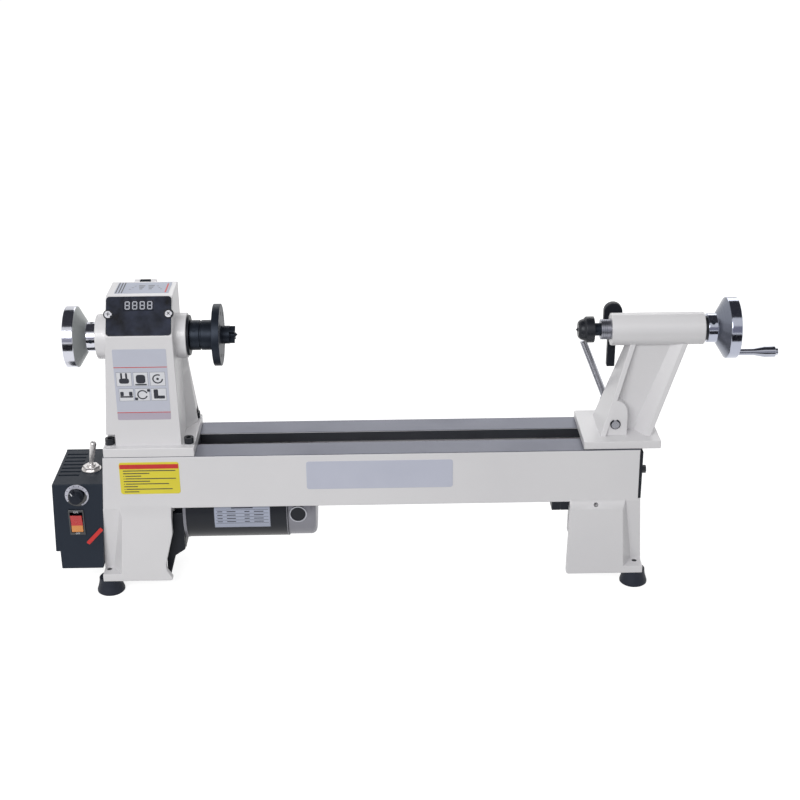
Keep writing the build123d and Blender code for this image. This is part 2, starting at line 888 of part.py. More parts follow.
def make_bearings():
    """Add the two ball bearings and the cover ring on the nose side."""
    pitch_r = (bearing_r + spindle_r) / 2
    outers = []
    inners = []
    balls = []
    for left in bearing_places():
        right = left + bearing_width
        middle = Pos((left + right) / 2, 0, axis_z) * Rot(0, 90, 0)
        race = middle * Torus(pitch_r, ball_r + run)
        outer = rod_x(bearing_r, left, right, 0, axis_z)
        outer -= rod_x(bearing_r - ring_thickness, left, right, 0, axis_z)
        outers.append(outer - race)
        inner = rod_x(spindle_r + ring_thickness, left, right, 0, axis_z)
        inner -= rod_x(spindle_r + fit, left, right, 0, axis_z)
        inners.append(inner - race)
        for k in range(ball_count):
            balls.append(middle * Rot(0, 0, 360 * k / ball_count) * Pos(pitch_r, 0, 0) * Sphere(ball_r))
    cover_left = head_x + boss_right
    cover = rod_x(cover_r, cover_left, cover_left + cover_thickness, 0, axis_z)
    cover -= rod_x(spindle_r + cover_gap, cover_left, cover_left + cover_thickness, 0, axis_z)
    nodes["bearing_outer_rings"] = group(outers)
    nodes["bearing_inner_rings"] = group(inners)
    nodes["bearing_balls"] = group(balls)
    nodes["bearing_cover"] = cover


def morse(end_x, way, mouth_r, depth):
    """Return a Morse taper plug that runs from its mouth along X, one way or the other."""
    small_r = mouth_r - morse_taper * depth
    small_x = end_x + way * depth
    return turned_x([(end_x, 0), (end_x, mouth_r), (small_x, small_r), (small_x, 0)], axis_z)


def step_pulley(radii, bore_r, z):
    """Return a stepped pulley, its steps listed from the left, with the belt on the last one."""
    left = belt_x - pulley_step_width * (len(radii) - 0.5)
    pulley = None
    for k, r in enumerate(radii):
        step_left = left + k * pulley_step_width
        step = rod_x(r, step_left, step_left + pulley_step_width, 0, z)
        pulley = step if pulley is None else pulley + step
    return pulley - rod_x(bore_r, left, left + pulley_step_width * len(radii), 0, z)


def handwheel(hub_x, way, bore_r):
    """Return a dished handwheel whose hub starts at one place and whose rim lies outward along X."""
    cone = wheel_hub_length + wheel_cone_length
    rim = cone + wheel_rim_width
    inner_r = wheel_rim_r - wheel_rim_wall
    profile = [
        (0, bore_r),
        (0, wheel_hub_r),
        (wheel_hub_length, wheel_hub_r),
        (cone, wheel_rim_r),
        (rim, wheel_rim_r),
        (rim, inner_r),
        (cone + wheel_floor / 2, inner_r),
        (wheel_hub_length + wheel_floor, wheel_hub_r),
        (wheel_hub_length + wheel_floor, bore_r),
    ]
    return turned_x([(hub_x + way * t, r) for t, r in profile], axis_z)


def hub_screw(hub_x, way, shaft_r, hub_r, angle):
    """Return a set screw in a hub and the hole for it, turned about the spindle line from straight up."""
    place = Pos(hub_x + way * set_screw_inset, 0, axis_z) * Rot(angle, 0, 0)
    screw = place * rod_z(set_screw_r, shaft_r + air, hub_r - air)
    hole = place * rod_z(set_screw_r + fit, 0, hub_r + air)
    return screw, hole


def make_spindle():
    """Add the spindle and everything that turns with it."""
    left_seat = head_x - boss_left + bearing_width
    right_seat = head_x + boss_right - bearing_width
    body_r = spindle_r + spindle_shoulder
    collar_left = belt_x + pulley_step_width / 2
    left_end = head_x - spindle_left
    spindle = rod_x(spindle_r, left_end, nose_x, 0, axis_z)
    spindle += rod_x(body_r, left_seat, right_seat, 0, axis_z)
    spindle += rod_x(body_r + pulley_collar, collar_left, collar_left + pulley_collar, 0, axis_z)
    spindle -= rod_x(spindle_bore_r, left_end, nose_x, 0, axis_z)
    spindle -= morse(nose_x, -1, morse_mouth_r, morse_depth)
    hub_x = head_x - boss_left - wheel_gap
    wheel = handwheel(hub_x, -1, spindle_r + fit)
    spacer_r = spindle_r + ring_thickness / 2
    spacer = rod_x(spacer_r, hub_x, head_x - boss_left, 0, axis_z)
    wheel += spacer - rod_x(spindle_r + fit, hub_x, head_x - boss_left, 0, axis_z)
    plate = rod_x(faceplate_hub_r, faceplate_x, faceplate_front, 0, axis_z)
    plate += rod_x(faceplate_r, faceplate_front - faceplate_thickness, faceplate_front, 0, axis_z)
    plate -= rod_x(spindle_r + fit, faceplate_x, nose_x, 0, axis_z)
    plate -= rod_x(spur_neck_r + fit, nose_x, faceplate_front, 0, axis_z)
    groove_x = faceplate_x + faceplate_groove_inset
    groove_end = groove_x + faceplate_groove
    groove = rod_x(faceplate_hub_r + air, groove_x, groove_end, 0, axis_z)
    plate -= groove - rod_x(faceplate_hub_r - faceplate_groove, groove_x, groove_end, 0, axis_z)
    for k in range(faceplate_holes):
        angle = 2 * math.pi * k / faceplate_holes
        y = faceplate_pcd / 2 * math.cos(angle)
        z = axis_z + faceplate_pcd / 2 * math.sin(angle)
        plate -= rod_x(faceplate_hole_r, faceplate_front - faceplate_thickness, faceplate_front, y, z)
    screws = []
    for angle in (0, 90):
        screw, hole = hub_screw(hub_x, -1, spindle_r, wheel_hub_r, angle)
        wheel -= hole
        screws.append(screw)
    screw, hole = hub_screw(faceplate_x, 1, spindle_r, faceplate_hub_r, 50)
    plate -= hole
    screws.append(screw)
    nodes["spindle"] = spindle
    nodes["spindle_pulley"] = step_pulley(pulley_step_r, body_r + fit, axis_z)
    nodes["outboard_handwheel"] = wheel
    nodes["faceplate"] = plate
    nodes["spindle_set_screws"] = group(screws)
    nodes["spur_centre"] = spur_centre()


def spur_centre():
    """Return the four-toothed spur centre with its taper shank."""
    head_end = faceplate_front + spur_head_length
    tooth_end = head_end + spur_tooth_length
    spur = rod_x(spur_neck_r, nose_x, faceplate_front, 0, axis_z)
    spur += rod_x(spur_head_r, faceplate_front, head_end, 0, axis_z)
    point_seat = head_end + spur_point_length - spur_point_r
    spur += turned_x(
        [(head_end, 0), (head_end, spur_point_r), (point_seat, spur_point_r), (spur_tip_x, 0)], axis_z
    )
    half_tooth = spur_tooth_thickness / 2
    for k in range(2):
        tooth = block(head_end, tooth_end, -spur_head_r, spur_head_r, -half_tooth, half_tooth)
        tooth = Pos(0, 0, axis_z) * Rot(90 * k + 45, 0, 0) * tooth
        spur += tooth & rod_x(spur_head_r, head_end, tooth_end, 0, axis_z)
    return spur + morse(nose_x, -1, morse_mouth_r - run, morse_depth - air * 2)


def belt_outline(top_r, low_r):
    """Return the face inside a loop drawn tight round the two pulley lines."""
    tilt = math.asin((low_r - top_r) / (axis_z - motor_z))
    across = math.cos(tilt)
    along = math.sin(tilt)
    top_right = (belt_x, top_r * across, axis_z + top_r * along)
    top_left = (belt_x, -top_r * across, axis_z + top_r * along)
    low_right = (belt_x, low_r * across, motor_z + low_r * along)
    low_left = (belt_x, -low_r * across, motor_z + low_r * along)
    edges = Line(low_right, top_right) + ThreePointArc(top_right, (belt_x, 0, axis_z + top_r), top_left)
    edges += Line(top_left, low_left) + ThreePointArc(low_left, (belt_x, 0, motor_z - low_r), low_right)
    return make_face(edges)


def make_drive():
    """Add the belt, the swinging motor plate with its lever, and the motor."""
    top_r = pulley_step_r[-1] + belt_gap
    low_r = pulley_step_r[0] + belt_gap
    loop = belt_outline(top_r + belt_thickness, low_r + belt_thickness) - belt_outline(top_r, low_r)
    nodes["drive_belt"] = Pos(-belt_width / 2, 0, 0) * extrude(loop, amount=belt_width, dir=(1, 0, 0))
    plate_right = plate_x + motor_plate_thickness
    lever_rear = lever_thickness - lever_front
    plate = rod_x(motor_plate_r, plate_x, plate_right, 0, motor_z)
    plate += block(plate_x, plate_right, 0, motor_pivot_y, motor_z - motor_eye_r, motor_z + motor_eye_r)
    plate_low = motor_z - motor_plate_r
    plate -= block(plate_x, plate_right, -motor_plate_r, lever_rear, plate_low, motor_z + motor_plate_r)
    plate += rod_x(motor_eye_r, plate_x, plate_right, motor_pivot_y, motor_z)
    plate += rod_x(motor_pivot_r, plate_x - motor_pivot_length, plate_x, motor_pivot_y, motor_z)
    lever_top = motor_z + lever_rise
    lobe_low = lever_low + lever_lobe_rise
    plate += block(plate_x, plate_right, lever_rear, 0, lobe_low, lever_top)
    plate -= rod_x(motor_collar_r + cover_gap, plate_x, plate_right, 0, motor_z)
    ring_right = plate_right + motor_ring_thickness
    can_right = ring_right + motor_can_length
    cap_right = can_right + motor_cap_length
    shaft_left = belt_x - pulley_step_width * (len(pulley_step_r) - 0.5)
    shaft_right = cap_right - motor_cap_length / 2
    bore = rod_x(motor_shaft_r + run, plate_right, shaft_right + air, 0, motor_z)
    shaft = rod_x(motor_shaft_r, shaft_left, shaft_right, 0, motor_z)
    collar_left = belt_x + pulley_step_width / 2
    shaft += rod_x(motor_collar_r, collar_left, collar_left + pulley_collar, 0, motor_z)
    cap = rod_x(motor_cap_r, can_right, cap_right, 0, motor_z)
    cap = fillet(cap.edges().filter_by(GeomType.CIRCLE).sort_by(Axis.X)[-1:], motor_cap_round)
    caps = []
    cap_x = cap_right - brush_cap_inset
    brush_z = motor_z + brush_cap_rise
    for side in (-1, 1):
        seat = side * (motor_cap_r - brush_cap_height)
        rim = side * (motor_cap_r + air)
        cap -= rod_y(brush_cap_r + fit, seat, rim + side * brush_cap_height, cap_x, brush_z)
        caps.append(rod_y(brush_cap_r, seat, rim, cap_x, brush_z))
    elbow_z = lever_low + lever_elbow_rise
    tip_x = plate_x - lever_tip_left
    outline = [
        (plate_x - lever_arm_left, lever_top),
        (plate_right - air, lever_top),
        (plate_right - air, lobe_low),
        (plate_x - lever_elbow_left, elbow_z),
        (tip_x, lever_low),
        (tip_x - lever_tip_width, lever_low),
        (plate_x - lever_arm_left, elbow_z),
    ]
    nodes["motor_plate"] = plate
    nodes["tension_lever"] = prism_y(outline, -lever_front, lever_rear)
    nodes["motor_front_ring"] = rod_x(motor_ring_r, plate_right, ring_right, 0, motor_z) - bore
    nodes["motor_can"] = rod_x(motor_r, ring_right, can_right, 0, motor_z) - bore
    nodes["motor_end_cap"] = cap - bore
    nodes["brush_caps"] = group(caps)
    nodes["motor_shaft"] = shaft
    nodes["motor_pulley"] = step_pulley(pulley_step_r[::-1], motor_shaft_r + fit, motor_z)


def box_outline(wall):
    """Return the (x, z) outline of the control box, drawn in by a wall."""
    left_top = -half_bed - box_reach + wall
    left_step = left_top - box_flare
    left_low = left_step + box_step
    low = box_low + wall
    high = box_top - wall
    step = box_low + box_step_rise
    return [
        (leg_end(-1, low) - wall, low),
        (leg_end(-1, high) - wall, high),
        (left_top, high),
        (left_step, step + wall),
        (left_low, step + wall),
        (left_low, low),
    ]


def box_screw_places():
    """Return the four cover screw places as (x, z)."""
    low = box_low + box_boss_inset
    high = box_top - box_boss_inset
    left = -half_bed - box_reach + box_boss_inset
    return [(x, z) for z in (low, high) for x in (left, leg_end(-1, z) - box_boss_inset)]


def make_control_box():
    """Add the control box, its controls and rear cover; return the cover screws."""
    rear = -box_front
    seam = rear - box_cover_thickness
    inside = box_front + box_wall
    solid_box = prism_y(box_outline(0.0), box_front, seam)
    box = solid_box - prism_y(box_outline(box_wall), inside, rear)
    cover = prism_y(box_outline(0.0), seam, rear)
    screws = []
    for x, z in box_screw_places():
        hole = rod_y(panel_screw_r + fit, rear - panel_screw_length, rear, x, z)
        box += rod_y(box_boss_r, seam - box_boss_length, seam, x, z) & solid_box
        box -= hole
        cover -= hole
        screws.append(Pos(x, rear, z) * Rot(-90, 0, 0) * pan_screw())
    louvre_left = -half_bed - box_reach + louvre_inset
    for k in range(louvre_count):
        y = louvre_centre + (k - (louvre_count - 1) / 2) * louvre_pitch
        box -= block(
            louvre_left, louvre_left + louvre_length, y - louvre_width / 2, y + louvre_width / 2,
            box_top - box_wall - air, box_top + air,
        )
    box -= make_dial(inside)
    box -= make_rocker()
    box -= make_toggle()
    gland_x = -half_bed - gland_out
    gland_z = box_top - gland_drop
    cover -= rod_y(gland_thread_r + fit, seam, rear, gland_x, gland_z)
    gland = rod_y(gland_r, rear, rear + gland_length, gland_x, gland_z)
    gland += rod_y(gland_thread_r, seam - gland_length / 2, rear, gland_x, gland_z)
    gland -= rod_y(gland_bore_r, seam - gland_length / 2, rear + gland_length, gland_x, gland_z)
    nodes["control_box"] = box
    nodes["control_box_cover"] = cover
    nodes["cable_gland"] = gland
    return screws


def make_dial(inside):
    """Add the dial plate, potentiometer and speed knob; return the hole in the box front."""
    x = -half_bed - dial_out
    z = box_top - dial_drop
    plate_front = box_front - dial_thickness
    knob_rear = plate_front - knob_gap
    knob_front = knob_rear - knob_length
    shaft_front = knob_front + pot_shaft_end
    plate = rod_y(dial_r, plate_front, box_front, x, z)
    plate -= rod_y(pot_bush_r + fit, plate_front, box_front, x, z)
    pot = rod_y(pot_r, inside, inside + pot_depth, x, z)
    pot += rod_y(pot_bush_r, plate_front, inside, x, z)
    pot += rod_y(pot_shaft_r, shaft_front, plate_front, x, z)
    knob = rod_y(knob_r, knob_front, knob_rear, x, z)
    knob -= rod_y(pot_shaft_r + run, shaft_front - air, knob_rear, x, z)
    nodes["dial_plate"] = plate
    nodes["potentiometer"] = pot
    nodes["speed_knob"] = knob
    return rod_y(pot_bush_r + fit, box_front, inside, x, z)


def make_rocker():
    """Add the power switch bezel and its rocker, resting on its lower stop; return the cut-out."""
    x = -half_bed - rocker_out
    z = box_top - rocker_drop
    half_w = bezel_width / 2
    half_h = bezel_height / 2
    body_w = rocker_width / 2 + air + bezel_lip
    body_h = rocker_height / 2 + rocker_gap + bezel_lip
    front = box_front - bezel_thickness
    back = box_front + bezel_depth
    bezel = block(x - half_w, x + half_w, front, box_front, z - half_h, z + half_h)
    bezel += block(x - body_w, x + body_w, box_front, back, z - body_h, z + body_h)
    room_w = body_w - bezel_lip
    room_h = body_h - bezel_lip
    bezel -= block(x - room_w, x + room_w, front, back - bezel_lip, z - room_h, z + room_h)
    half = rocker_height / 2
    face = -rocker_pivot_depth - bezel_thickness
    outline = [
        (face - rocker_rise, half),
        (face - rocker_rise + rocker_dip, 0),
        (face - rocker_rise, -half),
        (0, rocker_shoulder - half),
        (rocker_pivot_depth / 2, 0),
        (0, half - rocker_shoulder),
    ]
    rocker = prism_x(outline, -rocker_width / 2, rocker_width / 2)
    pin_half = rocker_width / 2 + rocker_pin_out
    rocker += rod_x(rocker_pin_r, -pin_half, pin_half)
    pin_y = box_front + rocker_pivot_depth
    bezel -= rod_x(rocker_pin_r + run, x - pin_half - run, x + pin_half + run, pin_y, z)
    nodes["rocker_bezel"] = bezel
    nodes["power_rocker"] = Pos(x, pin_y, z) * Rot(rocker_angle, 0, 0) * rocker
    cut_w = body_w + fit
    cut_h = body_h + fit
    return block(x - cut_w, x + cut_w, box_front, box_front + box_wall, z - cut_h, z + cut_h)


def make_toggle():
    """Add the direction toggle; return the hole in the box top."""
    x = -half_bed - toggle_out
    under = box_top - box_wall
    washer_top = box_top + toggle_washer_thickness
    nut_top = washer_top + toggle_nut_height
    bush_top = nut_top + toggle_bush_rise
    pivot_z = bush_top - toggle_ball_r / 2
    half = toggle_body_size / 2
    body = block(x - half, x + half, toggle_y - half, toggle_y + half, under - toggle_body_depth, under)
    body += rod_z(toggle_bush_r, under, bush_top, x, toggle_y)
    body += rod_z(toggle_washer_r, box_top, washer_top, x, toggle_y)
    body += hexagon_z(toggle_nut_r, washer_top, nut_top, x, toggle_y)
    body -= Pos(x, toggle_y, pivot_z) * Sphere(toggle_ball_r + run)
    tip = toggle_lever_length - toggle_tip_r
    profile = [(0, 0), (0, toggle_neck_r), (tip, toggle_tip_r), (tip, 0)]
    lever = Sphere(toggle_ball_r) + turned_z(profile, 0, 0)
    lever += Pos(0, 0, tip) * Sphere(toggle_tip_r)
    pin_half = toggle_ball_r + toggle_pin_out
    lever += rod_y(toggle_pin_r, -pin_half, pin_half)
    body -= rod_y(toggle_pin_r + run, toggle_y - pin_half - run, toggle_y + pin_half + run, x, pivot_z)
    nodes["toggle_body"] = body
    nodes["toggle_lever"] = Pos(x, toggle_y, pivot_z) * Rot(0, toggle_lean, 0) * lever
    return rod_z(toggle_bush_r + fit, under, box_top, x, toggle_y)


def tail_level(share):
    """Return the left, right, half depth and height of the leaning column at one level."""
    foot = bed_top + tail_base_height
    left = tail_x - tail_foot_left + share * (tail_top_left + tail_foot_left)
    right = tail_x + tail_foot_right + share * (tail_top_right - tail_foot_right)
    half = tail_foot_half + share * (tail_top_half - tail_foot_half)
    return left, right, half, foot + share * (axis_z - foot)


def tail_section(share):
    """Return one level of the column: a web with a rib down each edge, the right one sloping in."""
    left, right, half, z = tail_level(share)
    dip = tail_foot_web + share * (tail_top_web - tail_foot_web)
    rib_foot = right - tail_rib - tail_rib_draft
    front = [
        (left, -half),
        (left + tail_rib, -half),
        (left + tail_rib, -dip),
        (rib_foot, -dip),
        (right - tail_rib, -half),
        (right, -half),
    ]
    around = front + [(x, -y) for x, y in reversed(front)]
    return make_face(Polyline(*[(x, y, z) for x, y in around], close=True))


def eye_middle():
    """Return where the clamp eye hangs: below the cam in the middle of its swing."""
    return tail_x + cam_throw * math.sin(math.radians(cam_start_angle + cam_sweep / 2))


def cam_pad():
    """Return the round-topped pad of the cam shaft on the front of the web, kept within the ribs."""
    levels = []
    for share in (0, 1):
        left, right, half, z = tail_level(share)
        levels.append(slab(left, right, -half, half, z))
    top = cam_z + cam_pad_rise
    pad = rod_y(cam_pad_r, -cam_pad_front, 0, tail_x, top)
    pad += block(tail_x - cam_pad_r, tail_x + cam_pad_r, -cam_pad_front, 0, bed_top, top)
    return pad & taper(*levels)


def make_tailstock():
    """Add the tailstock casting, quill, lead screw and live centre."""
    foot = bed_top + tail_base_height
    barrel_front = tail_x - barrel_left
    barrel_end = tail_x + barrel_right
    tenon_half = slot_width / 2 - run
    cam_r = cam_shaft_r - cam_throw - cam_web
    eye_r = cam_r + eye_room + eye_wall
    base = (tail_x - tail_base_left, tail_x + tail_base_right, -tail_base_half, tail_base_half)
    tenon = (tail_x - tenon_left, tail_x + tenon_right, -tenon_half, tenon_half)
    casting = block(*base, bed_top, foot)
    casting += block(*tenon, bed_top - tenon_height, foot)
    casting += taper(tail_section(0), tail_section(1))
    casting += cam_pad()
    casting += rod_x(barrel_r, barrel_front, barrel_end, 0, axis_z)
    boss_rear = cam_head_front - air
    casting += rod_y(cam_boss_r, 0, boss_rear, tail_x, cam_z)
    casting += block(tail_x - cam_boss_r, tail_x + cam_boss_r, 0, boss_rear, foot, cam_z)
    casting += rod_y(lock_boss_r, 0, lock_front - air, tail_x, axis_z)
    casting -= rod_x(quill_r + run, barrel_front, barrel_end - barrel_end_wall, 0, axis_z)
    casting -= rod_x(lead_screw_r + run, barrel_front, barrel_end, 0, axis_z)
    casting -= rod_y(lock_screw_r + run, 0, lock_front, tail_x, axis_z)
    casting -= rod_y(cam_shaft_r + run, -cam_head_front, cam_head_front, tail_x, cam_z)
    room = eye_r + air * 2
    half_room = cam_width / 2 + air * 2
    eye_x = eye_middle()
    casting -= rod_y(room, -half_room, half_room, eye_x, cam_z)
    casting -= block(eye_x - room, eye_x + room, -half_room, half_room, bed_top - tenon_height, cam_z)
    quill_tail_x = quill_end_x + quill_length
    socket_end = quill_end_x + morse_depth
    quill = rod_x(quill_r, quill_end_x, quill_tail_x, 0, axis_z)
    quill -= morse(quill_end_x, 1, morse_mouth_r, morse_depth)
    quill -= rod_x(lead_screw_r + run, socket_end + lead_screw_room, quill_tail_x, 0, axis_z)
    collar_left = barrel_end + air
    hub_x = collar_left + lead_collar_thickness
    screw_tip = socket_end + lead_screw_room + lead_screw_play
    screw = rod_x(lead_screw_r, screw_tip, hub_x + lead_tail_length, 0, axis_z)
    screw += rod_x(lead_collar_r, collar_left, hub_x, 0, axis_z)
    wheel = handwheel(hub_x, 1, lead_screw_r + fit)
    set_screw, hole = hub_screw(hub_x, 1, lead_screw_r, wheel_hub_r, 50)
    wheel -= hole
    rim_x = hub_x + wheel_hub_length + wheel_cone_length + wheel_rim_width
    turn = math.radians(crank_angle)
    crank_y = -crank_radius * math.sin(turn)
    crank_z = axis_z - crank_radius * math.cos(turn)
    wheel -= rod_x(crank_bolt_r + fit, rim_x - crank_bolt_depth, rim_x, crank_y, crank_z)
    grip_left = rim_x + air
    grip_end = grip_left + crank_grip_length
    taper_left = grip_left + crank_neck_length
    taper_right = taper_left + crank_taper_length
    grip_bore = crank_bolt_r + run
    grip = turned_x(
        [
            (grip_left, grip_bore),
            (grip_left, crank_neck_r),
            (taper_left, crank_neck_r),
            (taper_right, crank_grip_r),
            (grip_end, crank_grip_r),
            (grip_end, grip_bore),
        ],
        crank_z, crank_y,
    )
    bolt_head_x = grip_end + air
    bolt = rod_x(crank_bolt_r, rim_x - crank_bolt_depth, bolt_head_x, crank_y, crank_z)
    bolt += rod_x(crank_head_r, bolt_head_x, bolt_head_x + crank_head_height, crank_y, crank_z)
    nodes["tailstock_casting"] = casting
    nodes["quill"] = quill
    nodes["lead_screw"] = screw
    nodes["tail_handwheel"] = wheel
    nodes["tail_set_screw"] = set_screw
    nodes["crank_bolt"] = bolt
    nodes["crank_grip"] = grip
    make_live_centre()


def make_live_centre():
    """Add the live centre: a taper shank in the quill and a head that turns on its pin."""
    neck_front = quill_end_x - centre_neck_length
    pin_front = neck_front - centre_pin_length
    shank = morse(quill_end_x, 1, morse_mouth_r - run, morse_depth - air * 2)
    shank += rod_x(centre_neck_r, neck_front, quill_end_x, 0, axis_z)
    shank += rod_x(centre_pin_r, pin_front, neck_front, 0, axis_z)
    tip_end = live_tip_x + centre_tip_length
    nose_end = tip_end + centre_nose_length
    head = turned_x(
        [
            (live_tip_x, 0),
            (tip_end, centre_tip_r),
            (tip_end, centre_nose_r - centre_tip_length),
            (tip_end + centre_tip_length, centre_nose_r),
            (nose_end, centre_head_r - centre_tip_length),
            (nose_end + centre_tip_length, centre_head_r),
            (neck_front - air, centre_head_r),
            (neck_front - air, 0),
        ],
        axis_z,
    )
    nodes["live_centre_shank"] = shank
    nodes["live_centre_head"] = head - rod_x(centre_pin_r + run, pin_front - air, neck_front, 0, axis_z)


def make_locks():
    """Add the quill lock lever, the cam lever and the bed clamp that it lifts."""
    lock_rear = lock_front + lock_thickness
    lever = rod_y(lock_hub_r, lock_front, lock_rear, tail_x, axis_z)
    lever += rod_y(lock_hub_r, lock_front, lock_rear, tail_x, axis_z + lock_dome)
    half_arm = lock_arm_width / 2
    dome_z = axis_z + lock_dome
    arm_low = axis_z - lock_arm_length
    lever += block(tail_x - lock_hub_r, tail_x + lock_hub_r, lock_front, lock_rear, axis_z, dome_z)
    lever += block(tail_x - half_arm, tail_x + half_arm, lock_front, lock_rear, arm_low, axis_z)
    lever += rod_y(lock_screw_r, quill_r + lock_reach, lock_front, tail_x, axis_z)
    cam_r = cam_shaft_r - cam_throw - cam_web
    cam_half = cam_width / 2
    shaft = rod_y(cam_shaft_r, -cam_front_end, -cam_half, tail_x, cam_z)
    start = math.radians(cam_start_angle)
    throw_z = cam_z + cam_throw * math.cos(start)
    shaft += rod_y(cam_r, -cam_half, cam_half, tail_x + cam_throw * math.sin(start), throw_z)
    shaft += rod_y(cam_shaft_r, cam_half, cam_head_front, tail_x, cam_z)
    cam_head_rear = cam_head_front + cam_head_thickness
    shaft += rod_y(cam_head_r, cam_head_front, cam_head_rear, tail_x, cam_z)
    rod_place = Pos(tail_x, (cam_head_front + cam_head_rear) / 2, cam_z) * Rot(0, -cam_rod_angle, 0)
    spigot_low = cam_head_r - cam_rod_spigot
    shaft -= rod_place * rod_z(cam_rod_spigot_r + fit, spigot_low, cam_head_r + air)
    rod = rod_z(cam_rod_spigot_r, spigot_low, cam_head_r)
    rod += rod_z(cam_rod_r, cam_head_r, cam_head_r + cam_rod_length)
    rod = chamfer(rod.edges().filter_by(GeomType.CIRCLE).sort_by(Axis.Z)[-1:], cam_rod_r / 3)
    eye_in = cam_r + eye_room
    eye_x = eye_middle()
    eye_z = throw_z - eye_room + eye_slack
    eye_half = cam_half - air
    plate_top = way_bottom - clamp_room
    plate_low = plate_top - clamp_plate_thickness
    nut_low = plate_low - clamp_nut_height
    half_length = clamp_plate_length / 2
    half_plate = clamp_plate_width / 2
    bolt = rod_y(eye_in + eye_wall, -eye_half, eye_half, eye_x, eye_z)
    shank_top = eye_z - eye_in - eye_wall / 2
    bolt += rod_z(clamp_bolt_r, nut_low - clamp_bolt_tail, shank_top, eye_x, 0)
    bolt -= rod_y(eye_in, -eye_half, eye_half, eye_x, eye_z)
    bolt_hole = rod_z(clamp_bolt_r + fit, nut_low, plate_top, eye_x, 0)
    plate = block(tail_x - half_length, tail_x + half_length, -half_plate, half_plate, plate_low, plate_top)
    nodes["quill_lock_lever"] = lever
    nodes["cam_shaft"] = shaft
    nodes["cam_lever_rod"] = rod_place * rod
    nodes["clamp_bolt"] = bolt
    nodes["clamp_plate"] = plate - bolt_hole
    nodes["clamp_nut"] = hexagon_z(clamp_nut_r, nut_low, plate_low, eye_x, 0) - bolt_hole


def main():
    """Build every piece and write one file for each node."""
    make_bed()
    make_headstock()
    panel_screws = make_display()
    make_bearings()
    make_spindle()
    make_drive()
    panel_screws += make_control_box()
    nodes["panel_screws"] = group(panel_screws)
    make_tailstock()
    make_locks()
    os.makedirs("parts", exist_ok=True)
    for name, shape in nodes.items():
        export_step(shape, "parts/" + name + ".step")


main()
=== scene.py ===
"""Looks of a benchtop bead-turning lathe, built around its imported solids.

X runs along the bed from the headstock to the tailstock, Y from front to rear and Z up, in metres.
"""

from __future__ import annotations

import logging
import math
from dataclasses import dataclass, replace
from enum import Enum
from typing import Iterable, Sequence

import bmesh
import bpy
from mathutils import Matrix, Vector

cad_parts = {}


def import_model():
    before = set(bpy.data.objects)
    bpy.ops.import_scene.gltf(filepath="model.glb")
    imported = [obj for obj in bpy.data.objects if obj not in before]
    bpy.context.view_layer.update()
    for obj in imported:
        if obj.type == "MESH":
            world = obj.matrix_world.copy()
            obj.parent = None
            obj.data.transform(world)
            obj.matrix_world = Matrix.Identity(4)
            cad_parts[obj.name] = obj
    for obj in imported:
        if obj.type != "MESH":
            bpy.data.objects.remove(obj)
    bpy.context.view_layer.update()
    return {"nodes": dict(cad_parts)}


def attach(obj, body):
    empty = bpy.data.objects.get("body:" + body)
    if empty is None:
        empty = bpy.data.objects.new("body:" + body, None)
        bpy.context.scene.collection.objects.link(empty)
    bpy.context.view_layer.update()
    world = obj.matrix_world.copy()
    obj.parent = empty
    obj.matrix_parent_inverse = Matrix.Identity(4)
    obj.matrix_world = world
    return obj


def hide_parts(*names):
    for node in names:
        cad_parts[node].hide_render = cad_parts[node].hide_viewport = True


LOG = logging.getLogger("lathe")
AXIS_Z = 0.359
BED_TOP = 0.207
FAR = 9.0
FRONT = (0, -1, 0)
ALONG = (1, 0, 0)
Pair = tuple[float, float]
Triple = tuple[float, float, float]
Bar = tuple[float, float, float, float]
Screen = tuple[int, int, int]
Mesh = bmesh.types.BMesh
Node = bpy.types.Node
Socket = bpy.types.NodeSocket
Tree = bpy.types.NodeTree


def linear(*screen: int) -> Triple:
    """Return a screen colour of 0 to 255 as linear light."""
    shares = (value / 255 for value in screen)
    return tuple(share / 12.92 if share <= 0.04045 else ((share + 0.055) / 1.055) ** 2.4 for share in shares)


def fill(tree: Tree, node: Node, inputs: dict[str | int, object]) -> None:
    """Link or set a node's inputs.

    Args:
        tree: The node tree.
        node: The node.
        inputs: Sockets to link and plain values to set, by the input's name or number.
    """
    for key, value in inputs.items():
        if isinstance(value, Socket):
            tree.links.new(value, node.inputs[key])
        else:
            node.inputs[key].default_value = value


def add_node(tree: Tree, kind: str, inputs: dict[str | int, object], **settings: object) -> Node:
    """Return a new node with its settings and inputs.

    Args:
        tree: The node tree.
        kind: The node's type.
        inputs: Sockets to link and plain values to set, by the input's name or number.
        settings: Its other properties.

    Returns:
        The node.
    """
    node = tree.nodes.new(kind)
    for name, value in settings.items():
        setattr(node, name, value)
    fill(tree, node, inputs)
    return node


def calc(tree: Tree, operation: str, first: object, second: object = 0.0) -> Socket:
    """Return what a Math node makes of two sockets or numbers."""
    return add_node(tree, "ShaderNodeMath", {0: first, 1: second}, operation=operation).outputs[0]


def ramp(tree: Tree, value: Socket, low: float, high: float, start: float = 0.0, end: float = 1.0) -> Socket:
    """Return a number that goes from start to end while a value goes from low to high."""
    inputs = {"Value": value, "From Min": low, "From Max": high, "To Min": start, "To Max": end}
    return add_node(tree, "ShaderNodeMapRange", inputs).outputs[0]


def object_place(tree: Tree) -> Socket:
    """Return the place on the object's own axes."""
    return tree.nodes.new("ShaderNodeTexCoord").outputs["Object"]


def noise(tree: Tree, scale: Socket, detail: float, rough: float = 0.5) -> Socket:
    """Return noise over the object's own axes."""
    inputs = {"Vector": object_place(tree), "Scale": scale, "Detail": detail, "Roughness": rough}
    return add_node(tree, "ShaderNodeTexNoise", inputs).outputs[0]


